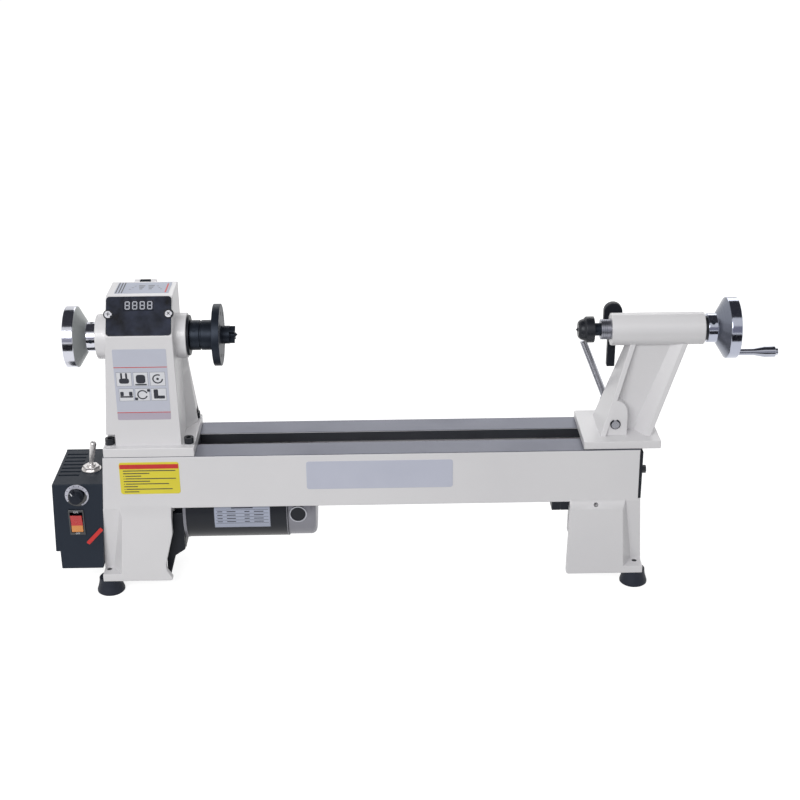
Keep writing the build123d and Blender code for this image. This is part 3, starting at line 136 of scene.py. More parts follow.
class Lines(Enum):
    """Marks that a cutting or grinding tool leaves on a surface."""

    NONE = "none"
    TURNED = "turned"
    GROUND = "ground"


class Mixed(Enum):
    """What a Mix node mixes: its data type, its two inputs and its output."""

    COLOUR = ("RGBA", 6, 7, 2)
    NUMBER = ("FLOAT", 2, 3, 0)


class EffectGroups:
    """Shader node groups that several finishes share, each built once."""

    def __init__(self) -> None:
        """Start with no group built."""
        self.made: dict[str, Tree] = {}

    def get(self, name: str) -> Tree:
        """Return a group by name, building it at its first use.

        Args:
            name: One of fine_grain, tone_drift, tool_lines and worn_edge.

        Returns:
            The shader node group.
        """
        if name not in self.made:
            self.made[name] = getattr(self, "_" + name)()
        return self.made[name]

    @staticmethod
    def _start(name: str, inputs: dict[str, float], output: str) -> tuple:
        """Return a new group with its sockets.

        Args:
            name: The group's name.
            inputs: Names and defaults of its number inputs.
            output: The name of its one number output.

        Returns:
            The group, the sockets of its inputs and the socket of its output.
        """
        tree = bpy.data.node_groups.new(name, "ShaderNodeTree")
        for label, value in inputs.items():
            socket = tree.interface.new_socket(label, in_out="INPUT", socket_type="NodeSocketFloat")
            socket.default_value = value
        tree.interface.new_socket(output, in_out="OUTPUT", socket_type="NodeSocketFloat")
        return tree, tree.nodes.new("NodeGroupInput").outputs, tree.nodes.new("NodeGroupOutput").inputs[0]

    def _fine_grain(self) -> Tree:
        """Build the fine grain of paint, cast iron and moulded plastic."""
        tree, given, height = self._start("fine_grain", {"Scale": 900.0}, "Height")
        tree.links.new(noise(tree, given["Scale"], 3.0, 0.55), height)
        return tree

    def _tone_drift(self) -> Tree:
        """Build the slow change of tone over a surface, as a mask."""
        tree, given, mask = self._start("tone_drift", {"Scale": 14.0, "Amount": 0.5}, "Mask")
        spread = ramp(tree, noise(tree, given["Scale"], 5.0), 0.32, 0.68)
        tree.links.new(calc(tree, "MULTIPLY", spread, given["Amount"]), mask)
        return tree

    def _tool_lines(self) -> Tree:
        """Build a cutter's lines: rings about the spindle's line, or straight streaks along X."""
        tree, given, height = self._start("tool_lines", {"Pitch": 0.0006, "Straight": 0.0}, "Height")
        x, y, z = add_node(tree, "ShaderNodeSeparateXYZ", {0: object_place(tree)}).outputs
        above = calc(tree, "SUBTRACT", z, AXIS_Z)
        squares = calc(tree, "ADD", calc(tree, "POWER", y, 2.0), calc(tree, "POWER", above, 2.0))
        ring = calc(tree, "ADD", calc(tree, "SQRT", squares), calc(tree, "MULTIPLY", x, 0.73))
        streak = calc(tree, "ADD", y, calc(tree, "MULTIPLY", z, 0.61))
        across = add_node(tree, "ShaderNodeMix", {0: given["Straight"], 2: ring, 3: streak}).outputs[0]
        count = calc(tree, "DIVIDE", across, given["Pitch"])
        inputs = {"W": count, "Scale": 1.0, "Detail": 4.0, "Roughness": 0.7}
        lines = add_node(tree, "ShaderNodeTexNoise", inputs, noise_dimensions="1D")
        tree.links.new(lines.outputs[0], height)
        return tree

    def _worn_edge(self) -> Tree:
        """Build the broken rub marks along rounded edges, as a mask."""
        tree, given, mask = self._start("worn_edge", {"Scale": 260.0, "Amount": 0.5}, "Mask")
        rim = add_node(tree, "ShaderNodeAttribute", {}, attribute_name="edge").outputs["Fac"]
        broken = calc(tree, "MULTIPLY", ramp(tree, noise(tree, given["Scale"], 4.0), 0.45, 0.62), rim)
        tree.links.new(calc(tree, "MULTIPLY", broken, given["Amount"]), mask)
        return tree


EFFECTS = EffectGroups()


@dataclass(frozen=True)
class Finish:
    """One surface finish and how its material is mixed.

    Attributes:
        name: The material's name.
        slot: The record's material slot that it belongs to; this script does not read it.
        colour: Its main colour.
        second: The colour that it drifts towards.
        drift: How far it drifts, from 0 to 1.
        drift_scale: How many drifts there are to a metre.
        roughness: Its least roughness.
        rough_spread: How much rougher it gets in places.
        metallic: 1 for bare metal.
        coat: The weight of a clear coat.
        grain_scale: Grains to a metre.
        grain_height: The height of the grain in metres.
        lines: Tool lines on it.
        line_pitch: The pitch of those lines in metres.
        line_height: Their height in metres.
        wear: How much its rounded edges are rubbed.
        rubbed: The colour of rubbed edges.
        specular: Its specular level.
    """

    name: str
    slot: str
    colour: Triple
    second: Triple
    drift: float = 0.5
    drift_scale: float = 14.0
    roughness: float = 0.4
    rough_spread: float = 0.1
    metallic: float = 0.0
    coat: float = 0.0
    grain_scale: float = 900.0
    grain_height: float = 0.00002
    lines: Lines = Lines.NONE
    line_pitch: float = 0.0006
    line_height: float = 0.00002
    wear: float = 0.0
    rubbed: Triple = (0.5, 0.5, 0.5)
    specular: float = 0.5


@dataclass(frozen=True)
class Zone:
    """A box within which a surface has a second finish.

    Attributes:
        finish: The finish of the zone.
        low: The box's lower corner in metres.
        high: Its upper corner.
        soft: How far the two run into each other, in metres.
    """

    finish: Finish
    low: Triple = (-FAR, -FAR, -FAR)
    high: Triple = (FAR, FAR, FAR)
    soft: float = 0.0002


def between(finish: Finish, reach: Pair) -> Zone:
    """Return the zone of a finish between two places along X."""
    return Zone(finish, (reach[0], -FAR, -FAR), (reach[1], FAR, FAR))


class MaterialMixer:
    """Mixes the node material of a finish, once for each name."""

    def __init__(self) -> None:
        """Start with no material mixed."""
        self.made: dict[str, bpy.types.Material] = {}

    def mix(self, finish: Finish, zones: Sequence[Zone] = ()) -> bpy.types.Material:
        """Return the material of a finish, mixing it at its first use.

        Args:
            finish: The finish.
            zones: Other finishes on parts of the surface.

        Returns:
            The node material.
        """
        if finish.name not in self.made:
            self.made[finish.name] = self._build(finish, zones)
        return self.made[finish.name]

    def _build(self, finish: Finish, zones: Sequence[Zone]) -> bpy.types.Material:
        """Return a new material.

        Args:
            finish: The finish.
            zones: Other finishes on parts of the surface.

        Returns:
            The node material.
        """
        material = bpy.data.materials.new(finish.name)
        material.use_nodes = True
        tree = material.node_tree
        colour, rough, height = self._surface(tree, finish)
        metal = finish.metallic
        for zone in zones:
            mask = self._box_mask(tree, zone)
            other_colour, other_rough, other_height = self._surface(tree, zone.finish)
            colour = self._blend(tree, mask, colour, other_colour, Mixed.COLOUR)
            rough = self._blend(tree, mask, rough, other_rough, Mixed.NUMBER)
            height = self._blend(tree, mask, height, other_height, Mixed.NUMBER)
            metal = self._blend(tree, mask, metal, zone.finish.metallic, Mixed.NUMBER)
        bump = add_node(tree, "ShaderNodeBump", {"Height": height, "Distance": 1.0, "Strength": 1.0})
        fill(tree, tree.nodes["Principled BSDF"], {
            "Base Color": colour, "Roughness": rough, "Metallic": metal, "Normal": bump.outputs[0],
            "Coat Weight": finish.coat, "Coat Roughness": 0.08, "Specular IOR Level": finish.specular,
        })
        return material

    def _surface(self, tree: Tree, finish: Finish) -> tuple[Socket, Socket, Socket]:
        """Return the sockets of one finish.

        Args:
            tree: The material's node tree.
            finish: The finish.

        Returns:
            Its colour, its roughness and its height.
        """
        drift = self._effect(tree, "tone_drift", Scale=finish.drift_scale, Amount=finish.drift)
        colour = self._blend(tree, drift, finish.colour, finish.second, Mixed.COLOUR)
        if finish.wear > 0:
            worn = self._effect(tree, "worn_edge", Amount=finish.wear)
            colour = self._blend(tree, worn, colour, finish.rubbed, Mixed.COLOUR)
        spread = self._effect(tree, "fine_grain", Scale=finish.grain_scale)
        height = calc(tree, "MULTIPLY", spread, finish.grain_height)
        if finish.lines is not Lines.NONE:
            straight = float(finish.lines is Lines.GROUND)
            spread = self._effect(tree, "tool_lines", Pitch=finish.line_pitch, Straight=straight)
            height = calc(tree, "ADD", height, calc(tree, "MULTIPLY", spread, finish.line_height))
        most = finish.roughness + finish.rough_spread
        return colour, ramp(tree, spread, 0.3, 0.7, finish.roughness, most), height

    @staticmethod
    def _effect(tree: Tree, name: str, **values: float) -> Socket:
        """Return the output of a shared effect whose inputs are given by name."""
        return add_node(tree, "ShaderNodeGroup", values, node_tree=EFFECTS.get(name)).outputs[0]

    @staticmethod
    def _blend(tree: Tree, mask: Socket, first: object, second: object, kind: Mixed) -> Socket:
        """Return two colours or numbers mixed by a mask.

        Args:
            tree: The material's node tree.
            mask: The mask's socket.
            first: A socket, colour or number where the mask is 0.
            second: A socket, colour or number where the mask is 1.
            kind: What is mixed.

        Returns:
            The mixed socket.
        """
        data_type, low, high, out = kind.value
        first, second = ((*value, 1.0) if isinstance(value, tuple) else value for value in (first, second))
        inputs = {0: mask, low: first, high: second}
        return add_node(tree, "ShaderNodeMix", inputs, data_type=data_type).outputs[out]

    @staticmethod
    def _box_mask(tree: Tree, zone: Zone) -> Socket:
        """Return a mask that is 1 within a zone's box.

        Args:
            tree: The material's node tree.
            zone: The zone.

        Returns:
            The mask's socket.
        """
        place = add_node(tree, "ShaderNodeSeparateXYZ", {0: object_place(tree)}).outputs
        sides = [(axis, bound, zone.soft) for axis, bound in enumerate(zone.low)]
        sides += [(axis, bound, -zone.soft) for axis, bound in enumerate(zone.high)]
        masks = [
            ramp(tree, place[axis], bound - soft, bound + soft)
            for axis, bound, soft in sides if abs(bound) < FAR
        ]
        whole = masks[0]
        for mask in masks[1:]:
            whole = calc(tree, "MULTIPLY", whole, mask)
        return whole


MIXER = MaterialMixer()


def frame_of(origin: Sequence[float], along: Sequence[float], up: Sequence[float]) -> Matrix:
    """Return the matrix of a place whose X lies along one direction and whose Y points up another.

    Args:
        origin: The place in metres.
        along: The direction of its X.
        up: The rough direction of its Y.

    Returns:
        The matrix, with Z standing off the surface.
    """
    first = Vector(along).normalized()
    normal = first.cross(Vector(up)).normalized()
    columns = Matrix((first, normal.cross(first), normal)).transposed().to_4x4()
    return Matrix.Translation(Vector(origin)) @ columns


def front_frame(x: float, y: float, z: float) -> Matrix:
    """Return a place on a face that looks to the front."""
    return frame_of((x, y, z), ALONG, (0, 0, 1))


def shifted(place: Matrix, x: float = 0.0, y: float = 0.0, z: float = 0.0) -> Matrix:
    """Return a place moved along its own axes."""
    return place @ Matrix.Translation((x, y, z))


def spun(place: Matrix, degrees: float) -> Matrix:
    """Return a place turned about its own Z."""
    return place @ Matrix.Rotation(math.radians(degrees), 4, "Z")


def moved(bm: Mesh, matrix: Matrix) -> Mesh:
    """Return a mesh moved by a matrix."""
    bmesh.ops.transform(bm, matrix=matrix, verts=bm.verts)
    return bm


def outward(bm: Mesh) -> Mesh:
    """Return a mesh with its faces turned outward."""
    bmesh.ops.recalc_face_normals(bm, faces=bm.faces)
    return bm


def bevelled(
    bm: Mesh, parts: Sequence, radius: float, segments: int = 3, affect: str = "EDGES", **more: object,
) -> list[bmesh.types.BMFace]:
    """Round edges or corners of a mesh.

    Args:
        bm: The mesh, which is changed.
        parts: Its edges or corners.
        radius: The radius of the rounding.
        segments: Facets across it.
        affect: EDGES or VERTICES.
        more: Other settings of the operator.

    Returns:
        The new faces.
    """
    return bmesh.ops.bevel(
        bm, geom=parts, offset=radius, offset_type="OFFSET", segments=segments, profile=0.5, affect=affect,
        material=-1, **more,
    )["faces"]


def drawn_up(bm: Mesh, thickness: float) -> Mesh:
    """Return a flat mesh drawn up along Z.

    Args:
        bm: The mesh, which is changed.
        thickness: How far it goes up.

    Returns:
        The same mesh, not yet with its faces turned outward.
    """
    made = bmesh.ops.extrude_face_region(bm, geom=list(bm.faces))
    tops = [part for part in made["geom"] if isinstance(part, bmesh.types.BMVert)]
    bmesh.ops.translate(bm, vec=(0, 0, thickness), verts=tops)
    return bm


def joined(parts: Iterable[Mesh]) -> Mesh:
    """Return several meshes as one.

    Args:
        parts: The meshes, which are freed.

    Returns:
        The one mesh.
    """
    whole = bmesh.new()
    for part in parts:
        scratch = bpy.data.meshes.new("scratch")
        part.to_mesh(scratch)
        part.free()
        whole.from_mesh(scratch)
        bpy.data.meshes.remove(scratch)
    return whole


def turned(profile: Sequence[Pair], start: Sequence[float], way: Sequence[float], steps: int = 64) -> Mesh:
    """Return a closed profile turned about a line.

    Args:
        profile: Places along the line and radii, as a closed outline unless its ends lie on the line.
        start: Where the line starts.
        way: The direction of the line.
        steps: Facets round the line.

    Returns:
        The turned mesh.
    """
    bm = bmesh.new()
    axis = Vector(way).normalized()
    side = axis.orthogonal().normalized()
    base = Vector(start)
    verts = [bm.verts.new(base + axis * along + side * radius) for along, radius in profile]
    pairs = list(zip(verts, verts[1:]))
    if profile[0][1] > 0 or profile[-1][1] > 0:
        pairs.append((verts[-1], verts[0]))
    edges = [bm.edges.new(pair) for pair in pairs]
    bmesh.ops.spin(
        bm, geom=verts + edges, cent=base, axis=axis, dvec=(0, 0, 0), angle=2 * math.pi, steps=steps,
        use_merge=True,
    )
    bmesh.ops.remove_doubles(bm, verts=bm.verts, dist=1e-6)
    return outward(bm)


def rounded_plate(
    width: float, height: float, thickness: float, corner: float = 0.0, rim: float = 0.0,
) -> Mesh:
    """Return a flat plate on the XY plane, centred, with round corners and a soft rim.

    Args:
        width: Its size along X.
        height: Its size along Y.
        thickness: Its size along Z, from 0 up.
        corner: The radius of its corners.
        rim: The radius of its top edge.

    Returns:
        The plate's mesh.
    """
    bm = bmesh.new()
    bmesh.ops.create_grid(bm, x_segments=1, y_segments=1, size=0.5)
    bmesh.ops.scale(bm, vec=(width, height, 1), verts=bm.verts)
    if corner > 0:
        bevelled(bm, list(bm.verts), corner, 5, "VERTICES")
    drawn_up(bm, thickness)
    if rim > 0:
        high = [edge for edge in bm.edges if all(vert.co.z > thickness / 2 for vert in edge.verts)]
        bevelled(bm, high, rim)
    return outward(bm)


def bars(items: Iterable[Bar], thickness: float) -> Mesh:
    """Return flat bars on the XY plane as one mesh.

    Args:
        items: The middle's X and Y, the width and the height of each bar.
        thickness: Their size along Z.

    Returns:
        The bars' mesh.
    """
    return joined(
        moved(rounded_plate(width, height, thickness), Matrix.Translation((x, y, 0)))
        for x, y, width, height in items
    )


def full_digit(width: float, height: float, stroke: float) -> list[Bar]:
    """Return the bars of a seven-bar digit with all of them lit.

    Args:
        width: The digit's width.
        height: Its height.
        stroke: The thickness of a bar.

    Returns:
        The middle's X and Y, the width and the height of each bar, round the digit's middle.
    """
    side = (width - stroke) / 2
    level = (height - stroke) / 2
    flat = width - stroke * 1.3
    tall = level - stroke * 0.3
    return [
        (0.0, level, flat, stroke), (side, level / 2, stroke, tall), (side, -level / 2, stroke, tall),
        (0.0, -level, flat, stroke), (-side, -level / 2, stroke, tall), (-side, level / 2, stroke, tall),
        (0.0, 0.0, flat, stroke),
    ]


def soft_bar(size: Triple, rim: float) -> Mesh:
    """Return a centred bar with rounded edges.

    Args:
        size: Its three sizes.
        rim: The radius of its edges.

    Returns:
        The bar's mesh.
    """
    bm = bmesh.new()
    bmesh.ops.create_cube(bm, size=1.0)
    bmesh.ops.scale(bm, vec=Vector(size), verts=bm.verts)
    bevelled(bm, list(bm.edges), rim)
    return bm


def ring_arc(radii: Sequence[Pair], start: float, turn: float, thickness: float) -> Mesh:
    """Return a flat arc on the XY plane whose width may change along it.

    Args:
        radii: Inner and outer radius at even steps along the arc.
        start: The angle where it starts, in degrees from X.
        turn: How far it goes, in degrees.
        thickness: Its size along Z.

    Returns:
        The arc's mesh.
    """
    bm = bmesh.new()
    angles = [math.radians(start + turn * k / (len(radii) - 1)) for k in range(len(radii))]
    rows = [
        [bm.verts.new((math.cos(angle) * r, math.sin(angle) * r, 0)) for r in pair]
        for angle, pair in zip(angles, radii)
    ]
    for low, high in zip(rows, rows[1:]):
        bm.faces.new((low[0], low[1], high[1], high[0]))
    return outward(drawn_up(bm, thickness))


def figures(text: str, size: float, thickness: float) -> Mesh:
    """Return plain figures on the XY plane as a mesh, centred on the origin.

    Args:
        text: The figures.
        size: Their height.
        thickness: Their size along Z.

    Returns:
        The figures' mesh.
    """
    curve = bpy.data.curves.new("figures", "FONT")
    curve.body = text
    curve.size = size
    curve.extrude = thickness / 2
    curve.align_x = "CENTER"
    curve.align_y = "CENTER"
    curve.resolution_u = 3
    holder = bpy.data.objects.new("figures", curve)
    mesh = bpy.data.meshes.new_from_object(holder)
    bm = bmesh.new()
    bm.from_mesh(mesh)
    bpy.data.objects.remove(holder)
    bpy.data.curves.remove(curve)
    bpy.data.meshes.remove(mesh)
    bmesh.ops.translate(bm, vec=(0, 0, thickness / 2), verts=bm.verts)
    return bm


def linked(name: str, data: bpy.types.ID) -> bpy.types.Object:
    """Return a new object in the scene.

    Args:
        name: Its name.
        data: Its mesh, lamp or camera.

    Returns:
        The object.
    """
    thing = bpy.data.objects.new(name, data)
    bpy.context.scene.collection.objects.link(thing)
    return thing


def solid_mesh(bm: Mesh, name: str) -> bpy.types.Mesh:
    """Return a mesh as scene data, freeing its working form.

    Args:
        bm: The working form.
        name: The name of the data.

    Returns:
        The data.
    """
    mesh = bpy.data.meshes.new(name)
    bm.to_mesh(mesh)
    bm.free()
    return mesh


def rounded(bm: Mesh, radius: float, least: float) -> Mesh:
    """Return a mesh with its longer outward edges rounded, where they have room for it.

    Args:
        bm: The mesh, which is changed.
        radius: The radius of the edges.
        least: The least length of a run of edges that is rounded.

    Returns:
        The same mesh, with its rounded faces marked by the face attribute edge.
    """
    sharp_angle, wedge_angle = math.radians(30.0), math.radians(20.0)
    mark = bm.faces.layers.float.new("edge")
    bent = {
        edge for edge in bm.edges
        if len(edge.link_faces) == 2 and edge.calc_face_angle(0.0) > sharp_angle
    }
    narrow = set()
    for face in bm.faces:
        for loop in face.loops:
            pair = {loop.edge, loop.link_loop_prev.edge}
            if pair <= bent and loop.calc_angle() < wedge_angle:
                narrow |= pair
    sharp = {edge for edge in bent - narrow if edge.is_convex and has_room(edge, radius)}
    long_runs = [run for run in runs_of(sharp) if sum(edge.calc_length() for edge in run) > least]
    bm.edges.index_update()
    chosen = sorted((edge for run in long_runs for edge in run), key=lambda edge: edge.index)
    for face in bevelled(bm, chosen, radius, clamp_overlap=False, loop_slide=False, miter_outer="ARC"):
        face[mark] = 1.0
    bmesh.ops.remove_doubles(bm, verts=bm.verts, dist=1e-6)
    return bm


def has_room(edge: bmesh.types.BMEdge, radius: float) -> bool:
    """Return whether no corner of the faces beside an edge lies within its rounding.

    Args:
        edge: The edge.
        radius: The radius of its rounding.

    Returns:
        True if it can be rounded.
    """
    end_share, spare = 0.001, 1.1
    start, end = (vert.co for vert in edge.verts)
    run = end - start
    for face in edge.link_faces:
        for vert in face.verts:
            share = (vert.co - start).dot(run) / run.length_squared
            beside = end_share < share < 1 - end_share
            if beside and (vert.co - start - share * run).length < radius * spare:
                return False
    return True


def runs_of(edges: set[bmesh.types.BMEdge]) -> list[list[bmesh.types.BMEdge]]:
    """Return edges sorted into runs that hang together.

    Args:
        edges: The edges.

    Returns:
        Lists of connected edges.
    """
    left = set(edges)
    runs = []
    while left:
        run = [left.pop()]
        for edge in run:
            near = {other for vert in edge.verts for other in vert.link_edges} & left
            left -= near
            run.extend(near)
        runs.append(run)
    return runs


@dataclass
class SubAssembly:
    """A group of pieces that belong together.

    Fields that end in edges hold the radius of a piece's edges and the shortest run that is rounded.

    Attributes:
        nodes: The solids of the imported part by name.
        body: The body that its pieces ride on, if nothing else is said.
    """

    nodes: dict[str, bpy.types.Object]
    body: str = "machine_frame"

    def dress(self, finish: Finish, *names: str, zones: Sequence[Zone] = ()) -> None:
        """Give a finish to solids that show as they are.

        Args:
            finish: The finish.
            names: The solids' names.
            zones: Other finishes on parts of them.
        """
        material = MIXER.mix(finish, zones)
        for name in names:
            solid = self.nodes[name]
            if not solid.material_slots:
                solid.data.materials.append(material)
            for slot in solid.material_slots:
                slot.link = "OBJECT"
                slot.material = material
            LOG.info("dressed %s in %s", name, finish.name)

    def add(
        self, bm: Mesh, name: str, finish: Finish, place: Matrix | None = None, body: str = "",
        stands_for: Sequence[str] = (), zones: Sequence[Zone] = (),
    ) -> None:
        """Make a piece of a mesh, give it a finish and let it ride on a body.

        Args:
            bm: The mesh, which is freed.
            name: The piece's name.
            finish: Its finish.
            place: Where the mesh is moved to first.
            body: The body that it rides on, if not the sub-assembly's own.
            stands_for: Solids that it replaces.
            zones: Other finishes on parts of it.
        """
        crease = math.radians(32.0)
        if place is not None:
            moved(bm, place)
        for face in bm.faces:
            face.smooth = True
        for edge in bm.edges:
            edge.smooth = edge.calc_face_angle(0.0) < crease
        mesh = solid_mesh(bm, name)
        piece = linked(name, mesh)
        mesh.materials.append(MIXER.mix(finish, zones))
        even = piece.modifiers.new("even_faces", "WEIGHTED_NORMAL")
        even.keep_sharp = True
        even.weight = 90
        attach(piece, body or self.body)
        if stands_for:
            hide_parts(*stands_for)
        LOG.info("made %s", name)

    def soften(
        self, solids: str | Sequence[str], name: str, finish: Finish, edges: Pair, body: str = "",
        zones: Sequence[Zone] = (),
    ) -> None:
        """Make a piece of solids with their longer sharp edges rounded, as a casting has them.

        Args:
            solids: The name of the solid that it replaces, or the names of several.
            name: The piece's name.
            finish: Its finish.
            edges: The radius of its edges and the shortest run of them that is rounded.
            body: The body that it rides on, if not the sub-assembly's own.
            zones: Other finishes on parts of it.
        """
        names = [solids] if isinstance(solids, str) else list(solids)
        self.add(rounded(self.merged(names), *edges), name, finish, body=body, stands_for=names, zones=zones)

    def merged(self, names: Sequence[str]) -> Mesh:
        """Return a copy of solids as one closed mesh, without the walls where they meet.

        Args:
            names: The solids' names.

        Returns:
            The mesh, with each flat side one face.
        """
        copies = [linked("copy", self.nodes[name].data.copy()) for name in names]
        for other in copies[1:]:
            step = copies[0].modifiers.new("union", "BOOLEAN")
            step.operation = "UNION"
            step.solver = "EXACT"
            step.object = other
        bm = bmesh.new()
        bm.from_object(copies[0], bpy.context.evaluated_depsgraph_get())
        for copy in copies:
            bpy.data.meshes.remove(copy.data)
        bmesh.ops.remove_doubles(bm, verts=bm.verts, dist=2e-6)
        bmesh.ops.dissolve_limit(
            bm, angle_limit=math.radians(0.5), use_dissolve_boundaries=False, verts=bm.verts, edges=bm.edges,
        )
        return bm


def toned(base: Finish, name: str, colour: Screen, second: Screen, **changes: object) -> Finish:
    """Return a finish like another one in two other colours.

    Args:
        base: The finish to start from.
        name: The new finish's name.
        colour: Its main screen colour.
        second: The screen colour that it drifts towards.
        changes: Other fields that differ.

    Returns:
        The new finish.
    """
    return replace(base, name=name, colour=linear(*colour), second=linear(*second), **changes)


WHITE_PAINT = Finish(
    "white_paint", "white_paint", linear(226, 225, 227), linear(216, 215, 218), drift=0.6, drift_scale=5.0,
    roughness=0.3, rough_spread=0.12, coat=0.15, grain_scale=420.0, grain_height=0.00003, wear=0.05,
    rubbed=linear(190, 188, 188),
)
BED_PAINT = replace(WHITE_PAINT, name="bed_paint", coat=0.0)
GROUND_WAYS = Finish(
    "ground_ways", "white_paint", linear(112, 114, 124), linear(92, 94, 105), drift=0.7, drift_scale=9.0,
    roughness=0.34, rough_spread=0.16, metallic=0.85, grain_scale=1400.0, grain_height=0.000004,
    lines=Lines.GROUND, line_pitch=0.0004, line_height=0.000012,
)
# Machined steel of the slot walls between the ways, darkened further with painted shade where the narrow slot
# lies in shadow.
SLOT_STEEL_AND_SHADE = Finish(
    "slot_steel_and_shade", "white_paint", linear(56, 58, 64), linear(44, 46, 52), drift_scale=30.0, roughness=0.5,
    rough_spread=0.2, metallic=0.5,
)
BLACK_PAINT = Finish(
    "black_paint", "black_paint", linear(26, 29, 36), linear(36, 39, 47), roughness=0.36, rough_spread=0.14,
    grain_scale=700.0, grain_height=0.00003, wear=0.15, rubbed=linear(66, 68, 74), specular=0.2,
)
DARK_STEEL = Finish(
    "dark_steel", "dark_steel", linear(36, 42, 52), linear(50, 56, 66), drift=0.6, drift_scale=60.0,
    roughness=0.38, rough_spread=0.14, metallic=0.5, grain_scale=1500.0, grain_height=0.000012, specular=0.2,
    lines=Lines.TURNED, line_pitch=0.0005, line_height=0.000012,
)
# Darker steel that paints the shade inside the quill's grooves.
QUILL_GROOVE_SHADE = toned(DARK_STEEL, "quill_groove_shade", (92, 94, 102), (80, 82, 90))
BLACK_STEEL = Finish(
    "black_steel", "dark_steel", linear(28, 31, 38), linear(40, 43, 50), drift=0.6, drift_scale=60.0,
    roughness=0.32, rough_spread=0.14, metallic=0.3, grain_scale=1500.0, grain_height=0.000012,
)
BRIGHT_STEEL = Finish(
    "bright_steel", "bright_steel", linear(178, 179, 186), linear(150, 152, 160), drift_scale=30.0,
    roughness=0.2, rough_spread=0.16, metallic=1.0, grain_scale=1800.0, grain_height=0.000003,
    lines=Lines.TURNED, line_pitch=0.0004, line_height=0.000008,
)
SCREW_STEEL = replace(BRIGHT_STEEL, name="screw_steel", roughness=0.22)
QUILL_STEEL = toned(BRIGHT_STEEL, "quill_steel", (150, 151, 160), (128, 130, 139), roughness=0.28)
ZINC = Finish(
    "zinc", "bright_steel", linear(216, 216, 218), linear(196, 196, 200), drift_scale=40.0,
    roughness=0.34, rough_spread=0.14, metallic=0.6, grain_scale=1500.0, grain_height=0.000004,
)
POLISHED_WHEEL = Finish(
    "polished_wheel", "polished_aluminium", linear(200, 201, 210), linear(180, 182, 192), drift=0.4,
    drift_scale=20.0, roughness=0.08, rough_spread=0.12, metallic=1.0, grain_scale=2200.0,
    grain_height=0.000002, lines=Lines.TURNED, line_pitch=0.0005, line_height=0.000006,
)
TAIL_WHEEL = toned(POLISHED_WHEEL, "tail_wheel_polish", (172, 176, 190), (154, 158, 172))
WHEEL_CONE = Finish(
    "wheel_cone", "polished_aluminium", linear(168, 172, 172), linear(150, 154, 156), drift_scale=20.0,
    roughness=0.34, rough_spread=0.16, metallic=0.6, grain_scale=1600.0, grain_height=0.000006,
    lines=Lines.TURNED, line_pitch=0.0005, line_height=0.00001,
)
TAIL_CONE = toned(
    WHEEL_CONE, "tail_wheel_cone", (126, 130, 142), (104, 109, 122), roughness=0.16, metallic=1.0,
)
CHROME = Finish(
    "chrome", "chrome", linear(214, 214, 220), linear(202, 203, 210), drift=0.4, drift_scale=40.0,
    roughness=0.05, rough_spread=0.08, metallic=1.0, grain_scale=1500.0, grain_height=0.000002,
)
GRIP_CHROME = toned(CHROME, "grip_chrome", (168, 171, 182), (148, 151, 163))
SATIN_CHROME = toned(
    CHROME, "satin_chrome", (222, 219, 218), (206, 203, 203), roughness=0.28, rough_spread=0.1, metallic=0.8,
)
RUBBER = Finish(
    "foot_rubber", "rubber", linear(32, 36, 47), linear(44, 48, 60), drift_scale=40.0, roughness=0.42,
    rough_spread=0.2, grain_scale=1300.0, grain_height=0.00004, specular=0.22,
)
BELT = Finish(
    "belt_rubber", "belt", linear(34, 34, 36), linear(46, 46, 48), drift_scale=80.0, roughness=0.6,
    rough_spread=0.2, grain_scale=1100.0, grain_height=0.00006,
)
MOTOR_BLACK = Finish(
    "motor_black", "motor_black", linear(22, 25, 32), linear(30, 33, 41), roughness=0.3, rough_spread=0.12,
    grain_scale=800.0, grain_height=0.00003, specular=0.25,
)
MOTOR_GREY = Finish(
    "motor_grey", "motor_grey", linear(128, 128, 135), linear(114, 114, 122), drift_scale=30.0,
    roughness=0.32, rough_spread=0.16, metallic=0.7, grain_scale=1300.0,
)
DARK_PLASTIC = Finish(
    "box_plastic", "dark_plastic", linear(36, 43, 54), linear(44, 51, 62), drift_scale=12.0, roughness=0.38,
    rough_spread=0.16, grain_scale=1200.0, grain_height=0.00004, wear=0.1, rubbed=linear(70, 76, 86),
    specular=0.15,
)
KNOB_PLASTIC = toned(DARK_PLASTIC, "knob_plastic", (30, 34, 43), (40, 45, 55), slot="gloss_black", wear=0.0)
RED_PLASTIC = Finish(
    "red_plastic", "red_plastic", linear(200, 40, 38), linear(184, 34, 34), drift_scale=40.0, roughness=0.22,
    rough_spread=0.12, coat=0.3, grain_height=0.00001,
)
ORANGE_PLASTIC = toned(RED_PLASTIC, "orange_plastic", (222, 146, 72), (206, 128, 60), drift_scale=60.0)
STRIP_PLASTIC = toned(RED_PLASTIC, "red_strip_plastic", (208, 44, 40), (192, 38, 38), roughness=0.3, coat=0.0)
GLOSS_BLACK = Finish(
    "gloss_black", "gloss_black", linear(16, 18, 26), linear(22, 25, 34), drift_scale=20.0, roughness=0.06,
    rough_spread=0.08, coat=0.6, grain_scale=90.0,
)
DISPLAY_BLACK = Finish(
    "display_black", "gloss_black", linear(6, 8, 17), linear(48, 53, 70), drift=0.9, drift_scale=48.0,
    roughness=0.1, grain_scale=90.0, grain_height=0.000004, specular=0.2,
)
READOUT = Finish(
    "readout_glass", "readout", linear(22, 25, 36), linear(34, 38, 50), drift_scale=40.0, roughness=0.1,
    rough_spread=0.08, grain_scale=200.0, grain_height=0.000004, specular=0.25,
)
GREY_PLATE = Finish(
    "grey_plate", "grey_plate", linear(196, 197, 209), linear(188, 189, 203), drift_scale=20.0, roughness=0.3,
    metallic=0.2, grain_scale=1600.0, grain_height=0.000006,
)
SILVER_LABEL = toned(
    GREY_PLATE, "label_silver", (196, 199, 214), (186, 190, 206), drift_scale=18.0, roughness=0.34,
    metallic=0.0,
)
